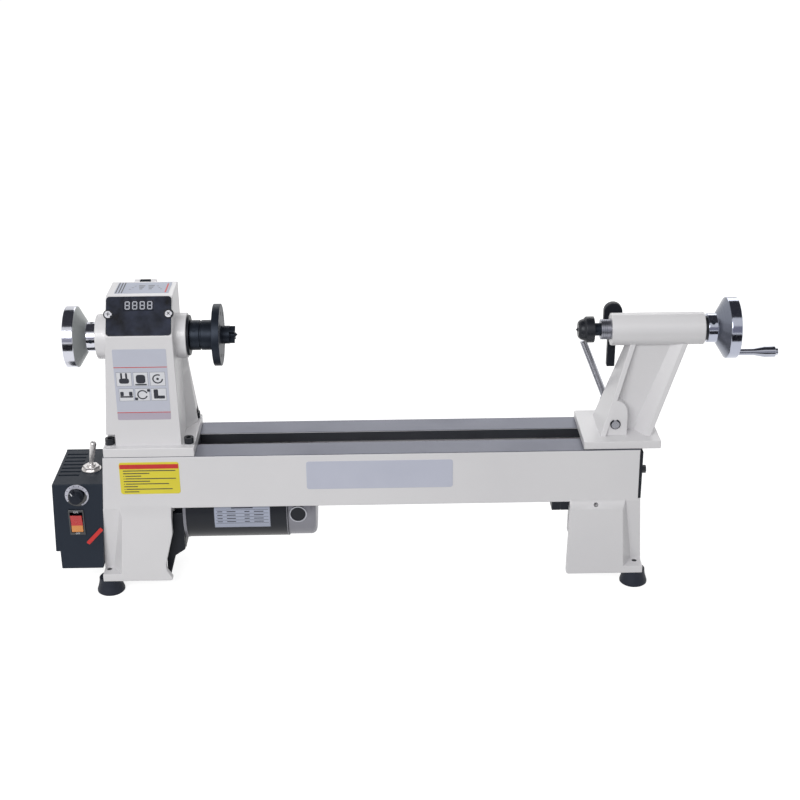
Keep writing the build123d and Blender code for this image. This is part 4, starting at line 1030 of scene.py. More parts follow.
VIOLET_LABEL = toned(SILVER_LABEL, "label_violet", (184, 175, 190), (176, 167, 182))
HEAD_LABEL = toned(SILVER_LABEL, "head_decal", (196, 199, 212), (188, 191, 205))
BLUE_LABEL = toned(SILVER_LABEL, "top_label", (172, 178, 196), (164, 170, 188))
YELLOW_LABEL = toned(SILVER_LABEL, "yellow_ink", (228, 214, 62), (218, 203, 54), drift_scale=30.0)
PALE_INK = toned(
    SILVER_LABEL, "pale_ink", (222, 223, 228), (212, 214, 220), drift_scale=60.0, roughness=0.4,
    grain_height=0.000004,
)
GREY_INK = toned(PALE_INK, "grey_ink", (128, 131, 140), (116, 119, 128))
DIGIT_INK = toned(PALE_INK, "digit_ink", (176, 178, 188), (160, 163, 174))
# Dark ink for print, also used as painted shade in the cross recesses of the panel screws.
DARK_INK_AND_SHADE = toned(PALE_INK, "dark_ink_and_shade", (46, 48, 58), (38, 40, 50), slot="gloss_black")
RED_INK = toned(PALE_INK, "red_ink", (204, 48, 44), (190, 40, 40), slot="red_plastic", roughness=0.36)


@dataclass
class Bed(SubAssembly):
    """The bed with its legs, feet, end plate, tie bar and stuck-on plates.

    Attributes:
        casting_edges: The casting's edges.
        slot_half: Half the width of the slot between the ways.
        front_y: Y of the bed's front face.
        plate_thickness: The thickness of both plates.
        plate_corner: The radius of their corners.
        name_place: X and Z of the middle of the bare plate.
        name_size: Its width and height.
        table_place: X and Z of the middle of the yellow plate.
        table_size: Its width and height.
        band_size: The width and height of its red band.
        band_rise: How far the band lies above the plate's middle.
        print_height: The height of the band and the rows over the plate.
        row_start: X and Y of the start of the first row, from the plate's middle.
        row_length: The length of a full row.
        row_pitch: How far apart the rows lie.
        row_stroke: The height of a row.
        row_shares: The length of each row, as a share of the full row.
        dotted_rows: The rows that start with a dot.
        foot_places: X of the left and right feet.
        foot_y: Y of the feet, to front and rear.
        foot_profile: Heights and radii round a foot with the recess of its stud.
    """

    casting_edges: Pair = (0.0012, 0.03)
    slot_half: float = 0.0176
    front_y: float = -0.056
    plate_thickness: float = 0.0006
    plate_corner: float = 0.0034
    name_place: Pair = (0.0094, 0.1765)
    name_size: Pair = (0.1968, 0.041)
    table_place: Pair = (-0.2991, 0.1762)
    table_size: Pair = (0.080, 0.047)
    band_size: Pair = (0.0785, 0.0065)
    band_rise: float = 0.01735
    print_height: float = 0.0003
    row_start: Pair = (-0.035, 0.0112)
    row_length: float = 0.07
    row_pitch: float = 0.0039
    row_stroke: float = 0.0012
    row_shares: tuple[float, ...] = (1.0, 0.5, 0.34, 1.0, 0.5, 0.86, 0.26, 0.92, 0.28)
    dotted_rows: tuple[int, ...] = (2, 3, 5, 7)
    foot_places: Pair = (-0.3665, 0.362)
    foot_y: float = 0.048
    foot_profile: tuple[Pair, ...] = (
        (0.0, 0.0095), (0.0, 0.0176), (0.0012, 0.0189), (0.0034, 0.019), (0.008, 0.0175), (0.0125, 0.0161),
        (0.0175, 0.0152), (0.0212, 0.015), (0.022, 0.0143), (0.022, 0.0038), (0.0102, 0.0038),
        (0.0102, 0.0095),
    )

    def build(self) -> None:
        """Make and dress the bed's pieces."""
        zones = (
            Zone(GROUND_WAYS, low=(-FAR, -FAR, BED_TOP - 0.0006)),
            # The slot walls get dark steel that is partly the metal's own colour and partly painted shade of
            # the deep slot.
            Zone(SLOT_STEEL_AND_SHADE, low=(-FAR, -self.slot_half, 0.18), high=(FAR, self.slot_half, BED_TOP - 0.0008)),
        )
        names = ("bed_casting", "left_leg", "right_leg")
        self.soften(names, "bed_body", BED_PAINT, self.casting_edges, zones=zones)
        self.dress(BLACK_PAINT, "bed_end_plate", "bed_tie_bar")
        self.dress(BLACK_STEEL, "bed_bolts", "foot_studs")
        feet = [
            turned(self.foot_profile, (x, side * self.foot_y, 0.0), (0, 0, 1), 48)
            for x in self.foot_places for side in (-1, 1)
        ]
        self.add(joined(feet), "bell_feet", RUBBER, stands_for=["rubber_feet"])
        self._plate(self.name_size, self.name_place, "bed_bare_plate", SILVER_LABEL)
        self._plate(self.table_size, self.table_place, "bed_yellow_plate", YELLOW_LABEL)
        self._table_print()

    def _plate(self, size: Pair, spot: Pair, name: str, finish: Finish) -> None:
        """Stick a plate on the bed's front.

        Args:
            size: Its width and height.
            spot: X and Z of its middle.
            name: The piece's name.
            finish: Its finish.
        """
        plate = rounded_plate(*size, self.plate_thickness, self.plate_corner, 0.0002)
        self.add(plate, name, finish, front_frame(spot[0], self.front_y, spot[1]))

    def _table_print(self) -> None:
        """Print the red band and the generic rows on the yellow plate."""
        place = front_frame(self.table_place[0], self.front_y, self.table_place[1])
        raised = shifted(place, z=self.plate_thickness - 0.0001)
        band = rounded_plate(*self.band_size, self.print_height, 0.0008)
        self.add(band, "yellow_plate_band", RED_INK, shifted(raised, y=self.band_rise))
        left, top = self.row_start
        high = self.row_stroke
        rows = []
        for number, share in enumerate(self.row_shares):
            y = top - number * self.row_pitch
            start = left
            if number in self.dotted_rows:
                rows.append((left + high / 2, y, high, high))
                start += high * 2.2
            width = self.row_length * share - (start - left)
            rows.append((start + width / 2, y, width, high))
        self.add(bars(rows, self.print_height), "yellow_plate_rows", DARK_INK_AND_SHADE, raised)


@dataclass
class Headstock(SubAssembly):
    """The headstock casting with its display, labels, bearings, belt door and screws.

    Attributes:
        casting_edges: The casting's edges.
        cover_edges: The bearing cover's edges.
        door_edges: The belt door's edges.
        panel_edges: The display panel's edges.
        decal_place: The middle of the label on the column.
        decal_size: Its width and height.
        violet_top: The height below which it is violet.
        cells: Middle, width and height of its six picture fields, from the label's middle.
        cell_edge: How much smaller a field is than its frame.
        top_place: The middle of the label on the roof.
        top_size: Its width and depth.
        label_thickness: The thickness of both labels.
        display_place: The middle of the slanted face under the display.
        display_up: The direction up that face.
        panel_thickness: The thickness of the display panel.
        panel_half: Half the width of the display panel.
        panel_corner: The radius of its corners.
        readout_rise: How far the readout lies above the middle of the face.
        digit_count: How many digits it shows.
        digit_size: Width, height and stroke of a digit.
        digit_pitch: How far apart the digits lie.
        screw_place: How far the panel screws lie beside and above the middle of the face.
        screw_top: The height of the screws' heads over the face.
        cross: Length and width of the bars of the painted shade in a screw's cross recess.
        ring_profile: Heights and radii round a screw's ring.
    """

    casting_edges: Pair = (0.0012, 0.05)
    cover_edges: Pair = (0.0006, 0.05)
    door_edges: Pair = (0.0008, 0.05)
    panel_edges: Pair = (0.0006, 0.01)
    decal_place: Triple = (-0.301, -0.0465, 0.308)
    decal_size: Pair = (0.07, 0.1)
    violet_top: float = 0.2684
    cells: tuple[Bar, ...] = (
        (-0.0225, 0.00825, 0.0202, 0.0195), (-0.0007, 0.00825, 0.0192, 0.0195),
        (0.0215, 0.00825, 0.02, 0.0195), (-0.0209, -0.01385, 0.0192, 0.0177),
        (0.00015, -0.01385, 0.0193, 0.0177), (0.0216, -0.01385, 0.0202, 0.0177),
    )
    cell_edge: float = 0.0008
    top_place: Triple = (-0.2985, 0.01435, 0.421)
    top_size: Pair = (0.071, 0.0423)
    label_thickness: float = 0.0004
    display_place: Triple = (-0.3, -0.03175, 0.398)
    display_up: Triple = (0.0, 0.0295, 0.046)
    panel_thickness: float = 0.0024
    panel_half: float = 0.0423
    panel_corner: float = 0.0045
    readout_rise: float = 0.014
    digit_count: int = 4
    digit_size: Triple = (0.0066, 0.0108, 0.0013)
    digit_pitch: float = 0.0097
    screw_place: Pair = (0.039, 0.0025)
    screw_top: float = 0.005
    cross: Pair = (0.0052, 0.0011)
    ring_profile: tuple[Pair, ...] = (
        (0.0, 0.0046), (0.0, 0.0064), (0.0004, 0.0066), (0.0007, 0.0062), (0.0007, 0.0046),
    )

    def build(self) -> None:
        """Make and dress the headstock's pieces."""
        self.soften("headstock_casting", "headstock_body", WHITE_PAINT, self.casting_edges)
        self._panel()
        self.dress(BLACK_STEEL, "headstock_screws")
        self.dress(ZINC, "headstock_washers")
        self.dress(BRIGHT_STEEL, "bearing_outer_rings", "bearing_inner_rings", "bearing_balls")
        self.dress(GLOSS_BLACK, "door_knob")
        self.dress(READOUT, "digit_readout")
        self.dress(CHROME, "panel_screws")
        self.soften("bearing_cover", "bearing_cap", BLACK_PAINT, self.cover_edges)
        self.soften("belt_door", "belt_door_leaf", BLACK_PAINT, self.door_edges, "rear_door")
        self._display()
        self._decal()
        self._top_label()

    def _panel(self) -> None:
        """Make the display panel with its round corners."""
        bm = self.merged(["display_panel"])
        out = frame_of(self.display_place, ALONG, self.display_up).to_3x3() @ Vector((0, 0, 1))
        corners = []
        for edge in bm.edges:
            run = edge.verts[1].co - edge.verts[0].co
            middle = (edge.verts[0].co + edge.verts[1].co) / 2
            upright = run.length > 0.001 and abs(run.normalized().dot(out)) > 0.99
            if upright and abs(middle.x - self.display_place[0]) > self.panel_half - 0.0002:
                corners.append(edge)
        bevelled(bm, corners, self.panel_corner, 7)
        self.add(rounded(bm, *self.panel_edges), "display_face", DISPLAY_BLACK, stands_for=["display_panel"])

    def _display(self) -> None:
        """Put the digits in the readout, crosses of painted shade in the panel screws' cross recesses, and
        rings on the panel screws.
        """
        face = frame_of(self.display_place, ALONG, self.display_up)
        surface = self.panel_thickness - 0.0001
        digits = []
        for number in range(self.digit_count):
            x = (number - (self.digit_count - 1) / 2) * self.digit_pitch
            digits.extend((x + dx, dy, w, h) for dx, dy, w, h in full_digit(*self.digit_size))
        place = shifted(face, 0, self.readout_rise, surface)
        self.add(bars(digits, 0.0003), "readout_digits", DIGIT_INK, place)
        long, wide = self.cross
        normal = face.to_3x3() @ Vector((0, 0, 1))
        slot_shades = []
        rings = []
        for side in (-1, 1):
            x, y = side * self.screw_place[0], self.screw_place[1]
            spot = spun(shifted(face, x, y, self.screw_top - 0.0002), 20 + 25 * side)
            # The dark cross is painted shade standing in for the screw's cross recess.
            slot_shades.append(moved(bars(((0, 0, long, wide), (0, 0, wide, long)), 0.00025), spot))
            rings.append(turned(self.ring_profile, face @ Vector((x, y, surface)), normal, 40))
        self.add(joined(slot_shades), "panel_screw_slot_shade", DARK_INK_AND_SHADE)
        self.add(joined(rings), "panel_screw_rings", BLACK_PAINT)

    def _decal(self) -> None:
        """Stick the label with its generic pictures on the column's front."""
        place = front_frame(*self.decal_place)
        plate = rounded_plate(*self.decal_size, self.label_thickness, 0.0015, 0.0001)
        zones = (Zone(VIOLET_LABEL, high=(FAR, FAR, self.violet_top)),)
        self.add(plate, "column_label", HEAD_LABEL, place, zones=zones)
        raised = shifted(place, z=0.00035)
        lines = [(0, y, self.decal_size[0], 0.0009) for y in (0.0248, -0.0394)]
        self.add(bars(lines, 0.0002), "column_label_lines", RED_INK, raised)
        self.add(bars(self.cells, 0.0002), "picture_frames", GREY_INK, raised)
        edge = self.cell_edge
        fields = [(x, y, width - edge, height - edge) for x, y, width, height in self.cells]
        over = shifted(raised, z=0.00015)
        self.add(bars(fields, 0.00015), "picture_fields", PALE_INK, over)
        top = shifted(over, z=0.0001)
        shapes = [
            moved(shape, shifted(top, cell[0], cell[1]) @ Matrix.Diagonal((1.25, 1.18, 1, 1)))
            for shape, cell in zip(self._pictures(), self.cells)
        ]
        self.add(joined(shapes), "picture_shapes", DARK_INK_AND_SHADE)

    @staticmethod
    def _pictures() -> list[Mesh]:
        """Return six generic pictures, each round its own middle."""
        thick = 0.00015
        ring = [(0.0042, 0.0056)] * 25

        def block(x: float, y: float, width: float, height: float, corner: float = 0.0008) -> Mesh:
            """Return one soft-cornered block of a picture."""
            return moved(rounded_plate(width, height, thick, corner), Matrix.Translation((x, y, 0)))

        return [joined(parts) for parts in (
            (block(0, -0.002, 0.0105, 0.0062, 0.0024), block(-0.0026, 0.0042, 0.002, 0.0066),
             block(0.0026, 0.0042, 0.002, 0.0066)),
            (block(0, 0, 0.0098, 0.0104, 0.003), block(0, -0.0066, 0.0124, 0.0016)),
            (ring_arc(ring, 60, 300, thick), block(0, 0, 0.0028, 0.0028, 0.0013)),
            (block(0, -0.0024, 0.0136, 0.0018), block(-0.0046, 0.0012, 0.0036, 0.005),
             block(0.0046, 0.0012, 0.0036, 0.005)),
            (ring_arc(ring, 20, 320, thick), block(-0.0066, -0.005, 0.0032, 0.0032),
             block(0.0066, 0.005, 0.0032, 0.0032)),
            (block(-0.003, 0.0006, 0.0046, 0.0112), block(0.0026, -0.0032, 0.0072, 0.0036)),
        )]

    def _top_label(self) -> None:
        """Stick the bare label with its bars on the roof."""
        place = frame_of(self.top_place, ALONG, (0, 1, 0))
        plate = rounded_plate(*self.top_size, self.label_thickness, 0.0015, 0.0001)
        self.add(plate, "roof_label", BLUE_LABEL, place)
        raised = shifted(place, z=0.00035)
        dark = [(x, 0, 0.0014, 0.0412) for x in (-0.0335, -0.0295, -0.026)]
        self.add(bars(dark, 0.0002), "roof_label_bars", DARK_INK_AND_SHADE, raised)
        self.add(bars([(0.031, -0.0019, 0.002, 0.035)], 0.0002), "roof_label_red_bar", RED_INK, raised)
        middle, pitch = 0.0035, 0.0062
        steps = []
        for side in (-1, 1):
            for number, width in enumerate((0.0105, 0.0078, 0.0052)):
                steps.append((middle + side * 0.0062, 0.0075 - number * pitch, width * 0.8, 0.0036))
            for number in range(3):
                x = middle + side * (0.0145 + 0.003 * number)
                steps.append((x, 0.0065 - pitch * number, 0.0026, 0.0014))
        self.add(bars(steps, 0.0002), "roof_label_pulleys", GREY_INK, raised)


@dataclass
class Spindle(SubAssembly):
    """The spindle with its pulley, handwheel, faceplate and spur centre.

    Attributes:
        body: The body that they ride on.
        wheel_edges: The handwheel's edges.
        plate_edges: The faceplate's edges.
        cone_reach: X of the two ends of the handwheel's cone.
    """

    body: str = "spindle_set"
    wheel_edges: Pair = (0.0011, 0.05)
    plate_edges: Pair = (0.0009, 0.05)
    cone_reach: Pair = (-0.3872, -0.3743)

    def build(self) -> None:
        """Make and dress the spindle's pieces."""
        self.dress(BRIGHT_STEEL, "spindle", "spindle_pulley")
        cone = (between(WHEEL_CONE, self.cone_reach),)
        self.soften("outboard_handwheel", "outboard_wheel", POLISHED_WHEEL, self.wheel_edges, zones=cone)
        self.soften("faceplate", "faceplate_disc", DARK_STEEL, self.plate_edges)
        self.dress(DARK_STEEL, "spindle_set_screws", "spur_centre")


@dataclass
class Drive(SubAssembly):
    """The motor on its swinging plate, the pulleys and the belt.

    Attributes:
        body: The body that the motor rides on.
        lever_edges: The tension lever's edges.
        motor_z: The height of the motor's shaft.
        can_radius: The radius of the motor's can.
        label_reach: X of the label's two ends.
        label_half_turn: How far the label reaches up and down round the can, in degrees.
        label_edge: The width of its border.
        line_turns: Where the lines of its table lie round the can, in degrees.
        row_turns: Where the rows of its table lie.
        row_parts: Where the bars of a row start and end, from the label's left end.
        seam_x: X of the ring at the joint between can and end cap.
        seam_width: The width of that ring.
        brush_place: The middle of the front brush cap, at the depth of its ring.
        brush_profile: Heights and radii round that ring.
    """

    body: str = "motor"
    lever_edges: Pair = (0.0014, 0.03)
    motor_z: float = 0.11
    can_radius: float = 0.0475
    label_reach: Pair = (-0.218, -0.1405)
    label_half_turn: float = 20.5
    label_edge: float = 0.0009
    line_turns: tuple[float, ...] = (13.5, 7.5, 1.5, -4.5, -10.5)
    row_turns: tuple[float, ...] = (10.5, 4.5, -1.5, -7.5)
    row_parts: tuple[Pair, ...] = ((0.005, 0.012), (0.018, 0.03), (0.042, 0.049), (0.055, 0.068))
    seam_x: float = -0.1187
    seam_width: float = 0.0011
    brush_place: Triple = (-0.103, -0.044, 0.113)
    brush_profile: tuple[Pair, ...] = (
        (0.0, 0.0102), (0.0026, 0.0102), (0.0032, 0.0106), (0.0032, 0.0117), (0.0026, 0.0122), (0.0, 0.0122),
    )

    def build(self) -> None:
        """Make and dress the drive's pieces."""
        self.dress(BELT, "drive_belt")
        self.dress(BLACK_PAINT, "motor_plate")
        self.soften("tension_lever", "tension_arm", BLACK_PAINT, self.lever_edges)
        self.dress(MOTOR_BLACK, "motor_can", "brush_caps")
        self.dress(MOTOR_GREY, "motor_end_cap", "motor_front_ring")
        self.dress(BRIGHT_STEEL, "motor_shaft", "motor_pulley")
        self._label()
        inner, outer = self.can_radius - 0.001, self.can_radius + 0.0003
        seam = [(0.0, inner), (0.0, outer), (self.seam_width, outer), (self.seam_width, inner)]
        self.add(turned(seam, (self.seam_x, 0.0, self.motor_z), ALONG, 96), "motor_seam", MOTOR_GREY)
        self.add(turned(self.brush_profile, self.brush_place, FRONT, 48), "brush_ring", BRIGHT_STEEL)

    def _label(self) -> None:
        """Bend the bare label, its border and its generic table round the can's front."""
        left, right = self.label_reach
        half, edge, print_rise = self.label_half_turn, self.label_edge, 0.0006
        self.add(self._bent(left, right, half, 0.0003), "motor_label_border", DARK_INK_AND_SHADE)
        self.add(self._bent(left + edge, right - edge, half - 1.1, 0.0005), "motor_label", BLUE_LABEL)
        rows = [self._bent(left + 0.003, right - 0.003, 0.25, print_rise, turn) for turn in self.line_turns]
        rows += [
            self._bent(left + start, left + end, 0.75, print_rise, turn)
            for turn in self.row_turns for start, end in self.row_parts
        ]
        rows.append(self._bent(left + 0.024, right - 0.024, 0.9, print_rise, 16.7))
        self.add(joined(rows), "motor_label_rows", DARK_INK_AND_SHADE)

    def _bent(self, left: float, right: float, half_turn: float, rise: float, middle: float = 0.0) -> Mesh:
        """Return a thin plate bent round the can's front.

        Args:
            left: X of its left end.
            right: X of its right end.
            half_turn: How far it reaches up and down, in degrees.
            rise: How far it stands off the can.
            middle: How far its middle lies up round the can, in degrees.

        Returns:
            The plate's closed mesh.
        """
        bm = bmesh.new()
        sunk = -0.0003
        rows = []
        for step in range(17):
            angle = math.radians(middle + half_turn * (step / 8 - 1))
            corners = []
            for x, off in ((left, rise), (right, rise), (right, sunk), (left, sunk)):
                radius = self.can_radius + off
                spot = (x, -math.cos(angle) * radius, self.motor_z + math.sin(angle) * radius)
                corners.append(bm.verts.new(spot))
            rows.append(corners)
        for low, high in zip(rows, rows[1:]):
            for k in range(4):
                bm.faces.new((low[k], low[(k + 1) % 4], high[(k + 1) % 4], high[k]))
        bm.faces.new(rows[0])
        bm.faces.new(rows[-1])
        return outward(bm)


@dataclass
class ControlBox(SubAssembly):
    """The control box with its dial, switch and toggle.

    Attributes:
        box_edges: The box's edges.
        bezel_edges: The switch bezel's edges.
        rocker_edges: The rocker's edges.
        toggle_edges: The toggle body's edges.
        rocker_split: The height below which the rocker is orange.
        front_y: Y of the box's front.
        dial_place: X and Z of the dial's middle.
        scale_radius: The outer radius of the pale scale.
        scale_width: Its least width and how much wider it gets.
        knob_y: Y of the knob's rear.
        knob_radius: The radius of the knob.
        pointer_turn: Where the knob points, in degrees from X.
        nose_size: Length, width and height of its pointer.
        bezel_front: Y of the bezel's front.
        switch_x: X of the switch's middle.
        marks: The words on the bezel, with their size and height.
        strip_place: X and Z of the middle of the red strip.
        strip_size: Its length and width.
        strip_turn: Its lean in degrees.
    """

    box_edges: Pair = (0.0012, 0.2)
    bezel_edges: Pair = (0.0006, 0.02)
    rocker_edges: Pair = (0.0005, 0.01)
    toggle_edges: Pair = (0.0004, 0.02)
    rocker_split: float = 0.107
    front_y: float = -0.056
    dial_place: Pair = (-0.399, 0.152)
    scale_radius: float = 0.016
    scale_width: Pair = (0.0018, 0.0042)
    knob_y: float = -0.0583
    knob_radius: float = 0.01
    pointer_turn: float = 121.0
    nose_size: Triple = (0.0136, 0.0058, 0.0106)
    bezel_front: float = -0.058
    switch_x: float = -0.4026
    marks: tuple[tuple[str, float, float], ...] = (("ON", 0.0042, 0.1272), ("OFF", 0.0034, 0.0949))
    strip_place: Pair = (-0.3803, 0.0894)
    strip_size: Pair = (0.0305, 0.0055)
    strip_turn: float = 47.0

    def build(self) -> None:
        """Make and dress the control box's pieces."""
        self.soften("control_box", "control_box_shell", DARK_PLASTIC, self.box_edges)
        self.dress(DARK_PLASTIC, "control_box_cover", "cable_gland", "potentiometer")
        self.dress(GLOSS_BLACK, "dial_plate")
        self.soften("rocker_bezel", "switch_bezel", GLOSS_BLACK, self.bezel_edges)
        zones = (Zone(ORANGE_PLASTIC, high=(FAR, FAR, self.rocker_split)),)
        self.soften("power_rocker", "switch_rocker", RED_PLASTIC, self.rocker_edges, "power_switch", zones)
        self.soften("toggle_body", "toggle_base", SATIN_CHROME, self.toggle_edges)
        self.dress(SATIN_CHROME, "toggle_lever")
        self._scale()
        self._knob()
        self._marks()

    def _scale(self) -> None:
        """Put the pale scale and its ticks on the dial."""
        x, z = self.dial_place
        face = front_frame(x, self.front_y - 0.0007, z)
        least, more = self.scale_width
        last, end_share = 48, 0.8
        radii = []
        for step in range(last + 1):
            share = step / last
            swell = more * math.sin(math.pi * min(1.0, share * 1.25)) ** 0.8 if share < end_share else 0.0
            radii.append((self.scale_radius - (least + swell), self.scale_radius))
        self.add(ring_arc(radii, 215, -285, 0.0003), "dial_scale", GREY_PLATE, face)
        ticks = []
        for number in range(11):
            place = shifted(spun(face, 205 - 26.0 * number), 0.0141, 0, 0.00025)
            ticks.append(moved(rounded_plate(0.0022, 0.0006, 0.00015), place))
        self.add(joined(ticks), "dial_ticks", DARK_INK_AND_SHADE)

    def _knob(self) -> None:
        """Make the knob with its pointer and the pointer's line."""
        x, z = self.dial_place
        radius = self.knob_radius
        profile = [
            (0.0, 0.0), (0.0, radius - 0.0004), (0.0006, radius), (0.003, radius), (0.0038, radius - 0.0014),
            (0.0108, radius - 0.0022), (0.0116, radius - 0.0028), (0.012, radius - 0.0042), (0.012, 0.0),
        ]
        place = spun(front_frame(x, self.knob_y, z), self.pointer_turn)
        nose = moved(soft_bar(self.nose_size, 0.0012), shifted(place, 0.0052, 0, 0.0062))
        knob = joined((turned(profile, (x, self.knob_y, z), FRONT, 64), nose))
        self.add(knob, "dial_knob", KNOB_PLASTIC, body="speed_dial", stands_for=["speed_knob"])
        line = rounded_plate(0.007, 0.0012, 0.0003)
        self.add(line, "knob_line", PALE_INK, shifted(place, 0.0078, 0, 0.0114), "speed_dial")

    def _marks(self) -> None:
        """Put the switch's marks on its bezel and the red strip on the box."""
        words = [
            moved(figures(word, size, 0.0003), front_frame(self.switch_x, self.bezel_front + 0.0001, z))
            for word, size, z in self.marks
        ]
        self.add(joined(words), "switch_marks", PALE_INK)
        place = spun(front_frame(self.strip_place[0], self.front_y, self.strip_place[1]), self.strip_turn)
        self.add(rounded_plate(*self.strip_size, 0.001, 0.0012, 0.0004), "red_strip", STRIP_PLASTIC, place)


@dataclass
class Tailstock(SubAssembly):
    """The tailstock with its quill, handwheel, live centre and locks.

    Attributes:
        body: The body that the casting belongs to.
        casting_edges: The casting's edges.
        wheel_edges: The handwheel's edges.
        grip_edges: The crank grip's edges.
        head_edges: The live centre's edges.
        lever_edges: The quill lock lever's edges.
        cone_reach: X of the two ends of the handwheel's cone.
        collar_reach: X of the two ends of the black collar on the lead screw.
        cam_place: The middle of the cam shaft's front end, at the face of its pad.
        clip_radii: Inner and outer radius of the clip on the cam shaft.
        quill_front: X of the quill's front end.
        quill_radius: The quill's radius.
        groove_places: How far its grooves lie behind the front end.
        groove_width: The width of a groove.
    """

    body: str = "tailstock"
    casting_edges: Pair = (0.0012, 0.05)
    wheel_edges: Pair = (0.0011, 0.05)
    grip_edges: Pair = (0.0008, 0.02)
    head_edges: Pair = (0.0006, 0.03)
    lever_edges: Pair = (0.0012, 0.03)
    cone_reach: Pair = (0.4602, 0.4731)
    collar_reach: Pair = (0.4435, 0.4485)
    cam_place: Triple = (0.328, -0.0316, 0.234)
    clip_radii: Pair = (0.0053, 0.007)
    quill_front: float = 0.3065
    quill_radius: float = 0.0135
    groove_places: Triple = (0.0022, 0.0046, 0.007)
    groove_width: float = 0.0005

    def build(self) -> None:
        """Make and dress the tailstock's pieces."""
        self.soften("tailstock_casting", "tailstock_body", WHITE_PAINT, self.casting_edges)
        self.dress(QUILL_STEEL, "quill")
        self.dress(BRIGHT_STEEL, "cam_shaft", "cam_lever_rod", "clamp_bolt")
        self.dress(SCREW_STEEL, "lead_screw", zones=(between(BLACK_PAINT, self.collar_reach),))
        cone = (between(TAIL_CONE, self.cone_reach),)
        self.soften("tail_handwheel", "tail_wheel_rim", TAIL_WHEEL, self.wheel_edges, "tail_wheel", cone)
        self.soften("crank_grip", "crank_handle_grip", GRIP_CHROME, self.grip_edges, "crank_handle")
        self.dress(GRIP_CHROME, "crank_bolt")
        self.dress(DARK_STEEL, "tail_set_screw", "live_centre_shank", "clamp_nut")
        self.soften("live_centre_head", "live_centre_nose", BLACK_STEEL, self.head_edges, "live_centre")
        self.soften("quill_lock_lever", "quill_lock_handle", BLACK_PAINT, self.lever_edges, "quill_lock")
        self.dress(BLACK_PAINT, "clamp_plate")
        clip = ring_arc([self.clip_radii] * 33, 110, 325, 0.0012)
        self.add(clip, "cam_shaft_clip", BLACK_STEEL, front_frame(*self.cam_place), "cam_lever")
        self._groove_shade()

    def _groove_shade(self) -> None:
        """Lay rings of painted shade over the grooves round the quill's front end."""
        inner, outer = self.quill_radius - 0.0004, self.quill_radius + 0.00005
        ring = [(0.0, inner), (0.0, outer), (self.groove_width, outer), (self.groove_width, inner)]
        # Thin dark rings standing just proud of the quill paint the shade of its grooves.
        shade_rings = [
            turned(ring, (self.quill_front + place, 0.0, AXIS_Z), ALONG, 64) for place in self.groove_places
        ]
        self.add(joined(shade_rings), "quill_groove_shade_rings", QUILL_GROOVE_SHADE, body="quill_set")


def flat_sheet(name: str, size: Pair, place: Matrix) -> bpy.types.Object:
    """Return a flat sheet of the studio in the scene.

    Args:
        name: Its name.
        size: Its width and height.
        place: Where its middle goes, with Z standing off it.

    Returns:
        The sheet.
    """
    bm = bmesh.new()
    bmesh.ops.create_grid(bm, x_segments=1, y_segments=1, size=0.5)
    bmesh.ops.scale(bm, vec=(*size, 1), verts=bm.verts)
    return linked(name, solid_mesh(moved(bm, place), name))


def empty_paint(sheet: bpy.types.Object, name: str) -> tuple[Tree, Socket]:
    """Give a sheet a new material that has only its output node.

    Args:
        sheet: The sheet.
        name: The material's name.

    Returns:
        The material's node tree and the input for its surface.
    """
    material = bpy.data.materials.new(name)
    material.use_nodes = True
    material.node_tree.nodes.clear()
    sheet.data.materials.append(material)
    return material.node_tree, material.node_tree.nodes.new("ShaderNodeOutputMaterial").inputs[0]


@dataclass(frozen=True)
class Camera:
    """The photograph's viewpoint.

    Attributes:
        place: Where it stands, in metres.
        yaw: Its turn about Z from looking along Y, in degrees.
        pitch: How far it looks down, in degrees.
        roll: Its turn about its own line of sight, in degrees.
        lens: Its focal length in millimetres.
        sensor: The width of its picture in millimetres.
        clip: The nearest and the farthest that it sees, in metres.
    """

    place: Triple = (0.0082, -1.8044, 1.0411)
    yaw: float = -0.962
    pitch: float = 23.388
    roll: float = -0.474
    lens: float = 65.16
    sensor: float = 36.0
    clip: Pair = (0.05, 60.0)

    def build(self) -> None:
        """Set up the camera as the scene's own."""
        data = bpy.data.cameras.new("camera")
        data.lens = self.lens
        data.sensor_width = self.sensor
        data.sensor_fit = "AUTO"
        data.clip_start, data.clip_end = self.clip
        camera = linked("camera", data)
        turn = Matrix.Rotation(math.radians(self.yaw), 3, "Z")
        drop = math.radians(self.pitch)
        forward = turn @ Vector((0, math.cos(drop), -math.sin(drop)))
        right = turn @ Vector(ALONG)
        up = right.cross(forward)
        lean = math.radians(self.roll)
        level = math.cos(lean) * right + math.sin(lean) * up
        top = -math.sin(lean) * right + math.cos(lean) * up
        axes = Matrix((level, top, -forward)).transposed().to_4x4()
        camera.matrix_world = Matrix.Translation(self.place) @ axes
        bpy.context.scene.camera = camera


@dataclass(frozen=True)
class Lamp:
    """One soft studio lamp.

    Attributes:
        name: Its name.
        place: Where it hangs.
        aim: What it points at.
        size: Its width and height.
        power: Its power in watts.
    """

    name: str
    place: Triple
    aim: Triple
    size: Pair
    power: float

    def build(self) -> None:
        """Hang the lamp."""
        data = bpy.data.lights.new(self.name, "AREA")
        data.shape = "RECTANGLE"
        data.size, data.size_y = self.size
        data.energy = self.power
        lamp = linked(self.name, data)
        lamp.location = self.place
        lamp.rotation_euler = (Vector(self.aim) - Vector(self.place)).to_track_quat("-Z", "Y").to_euler()


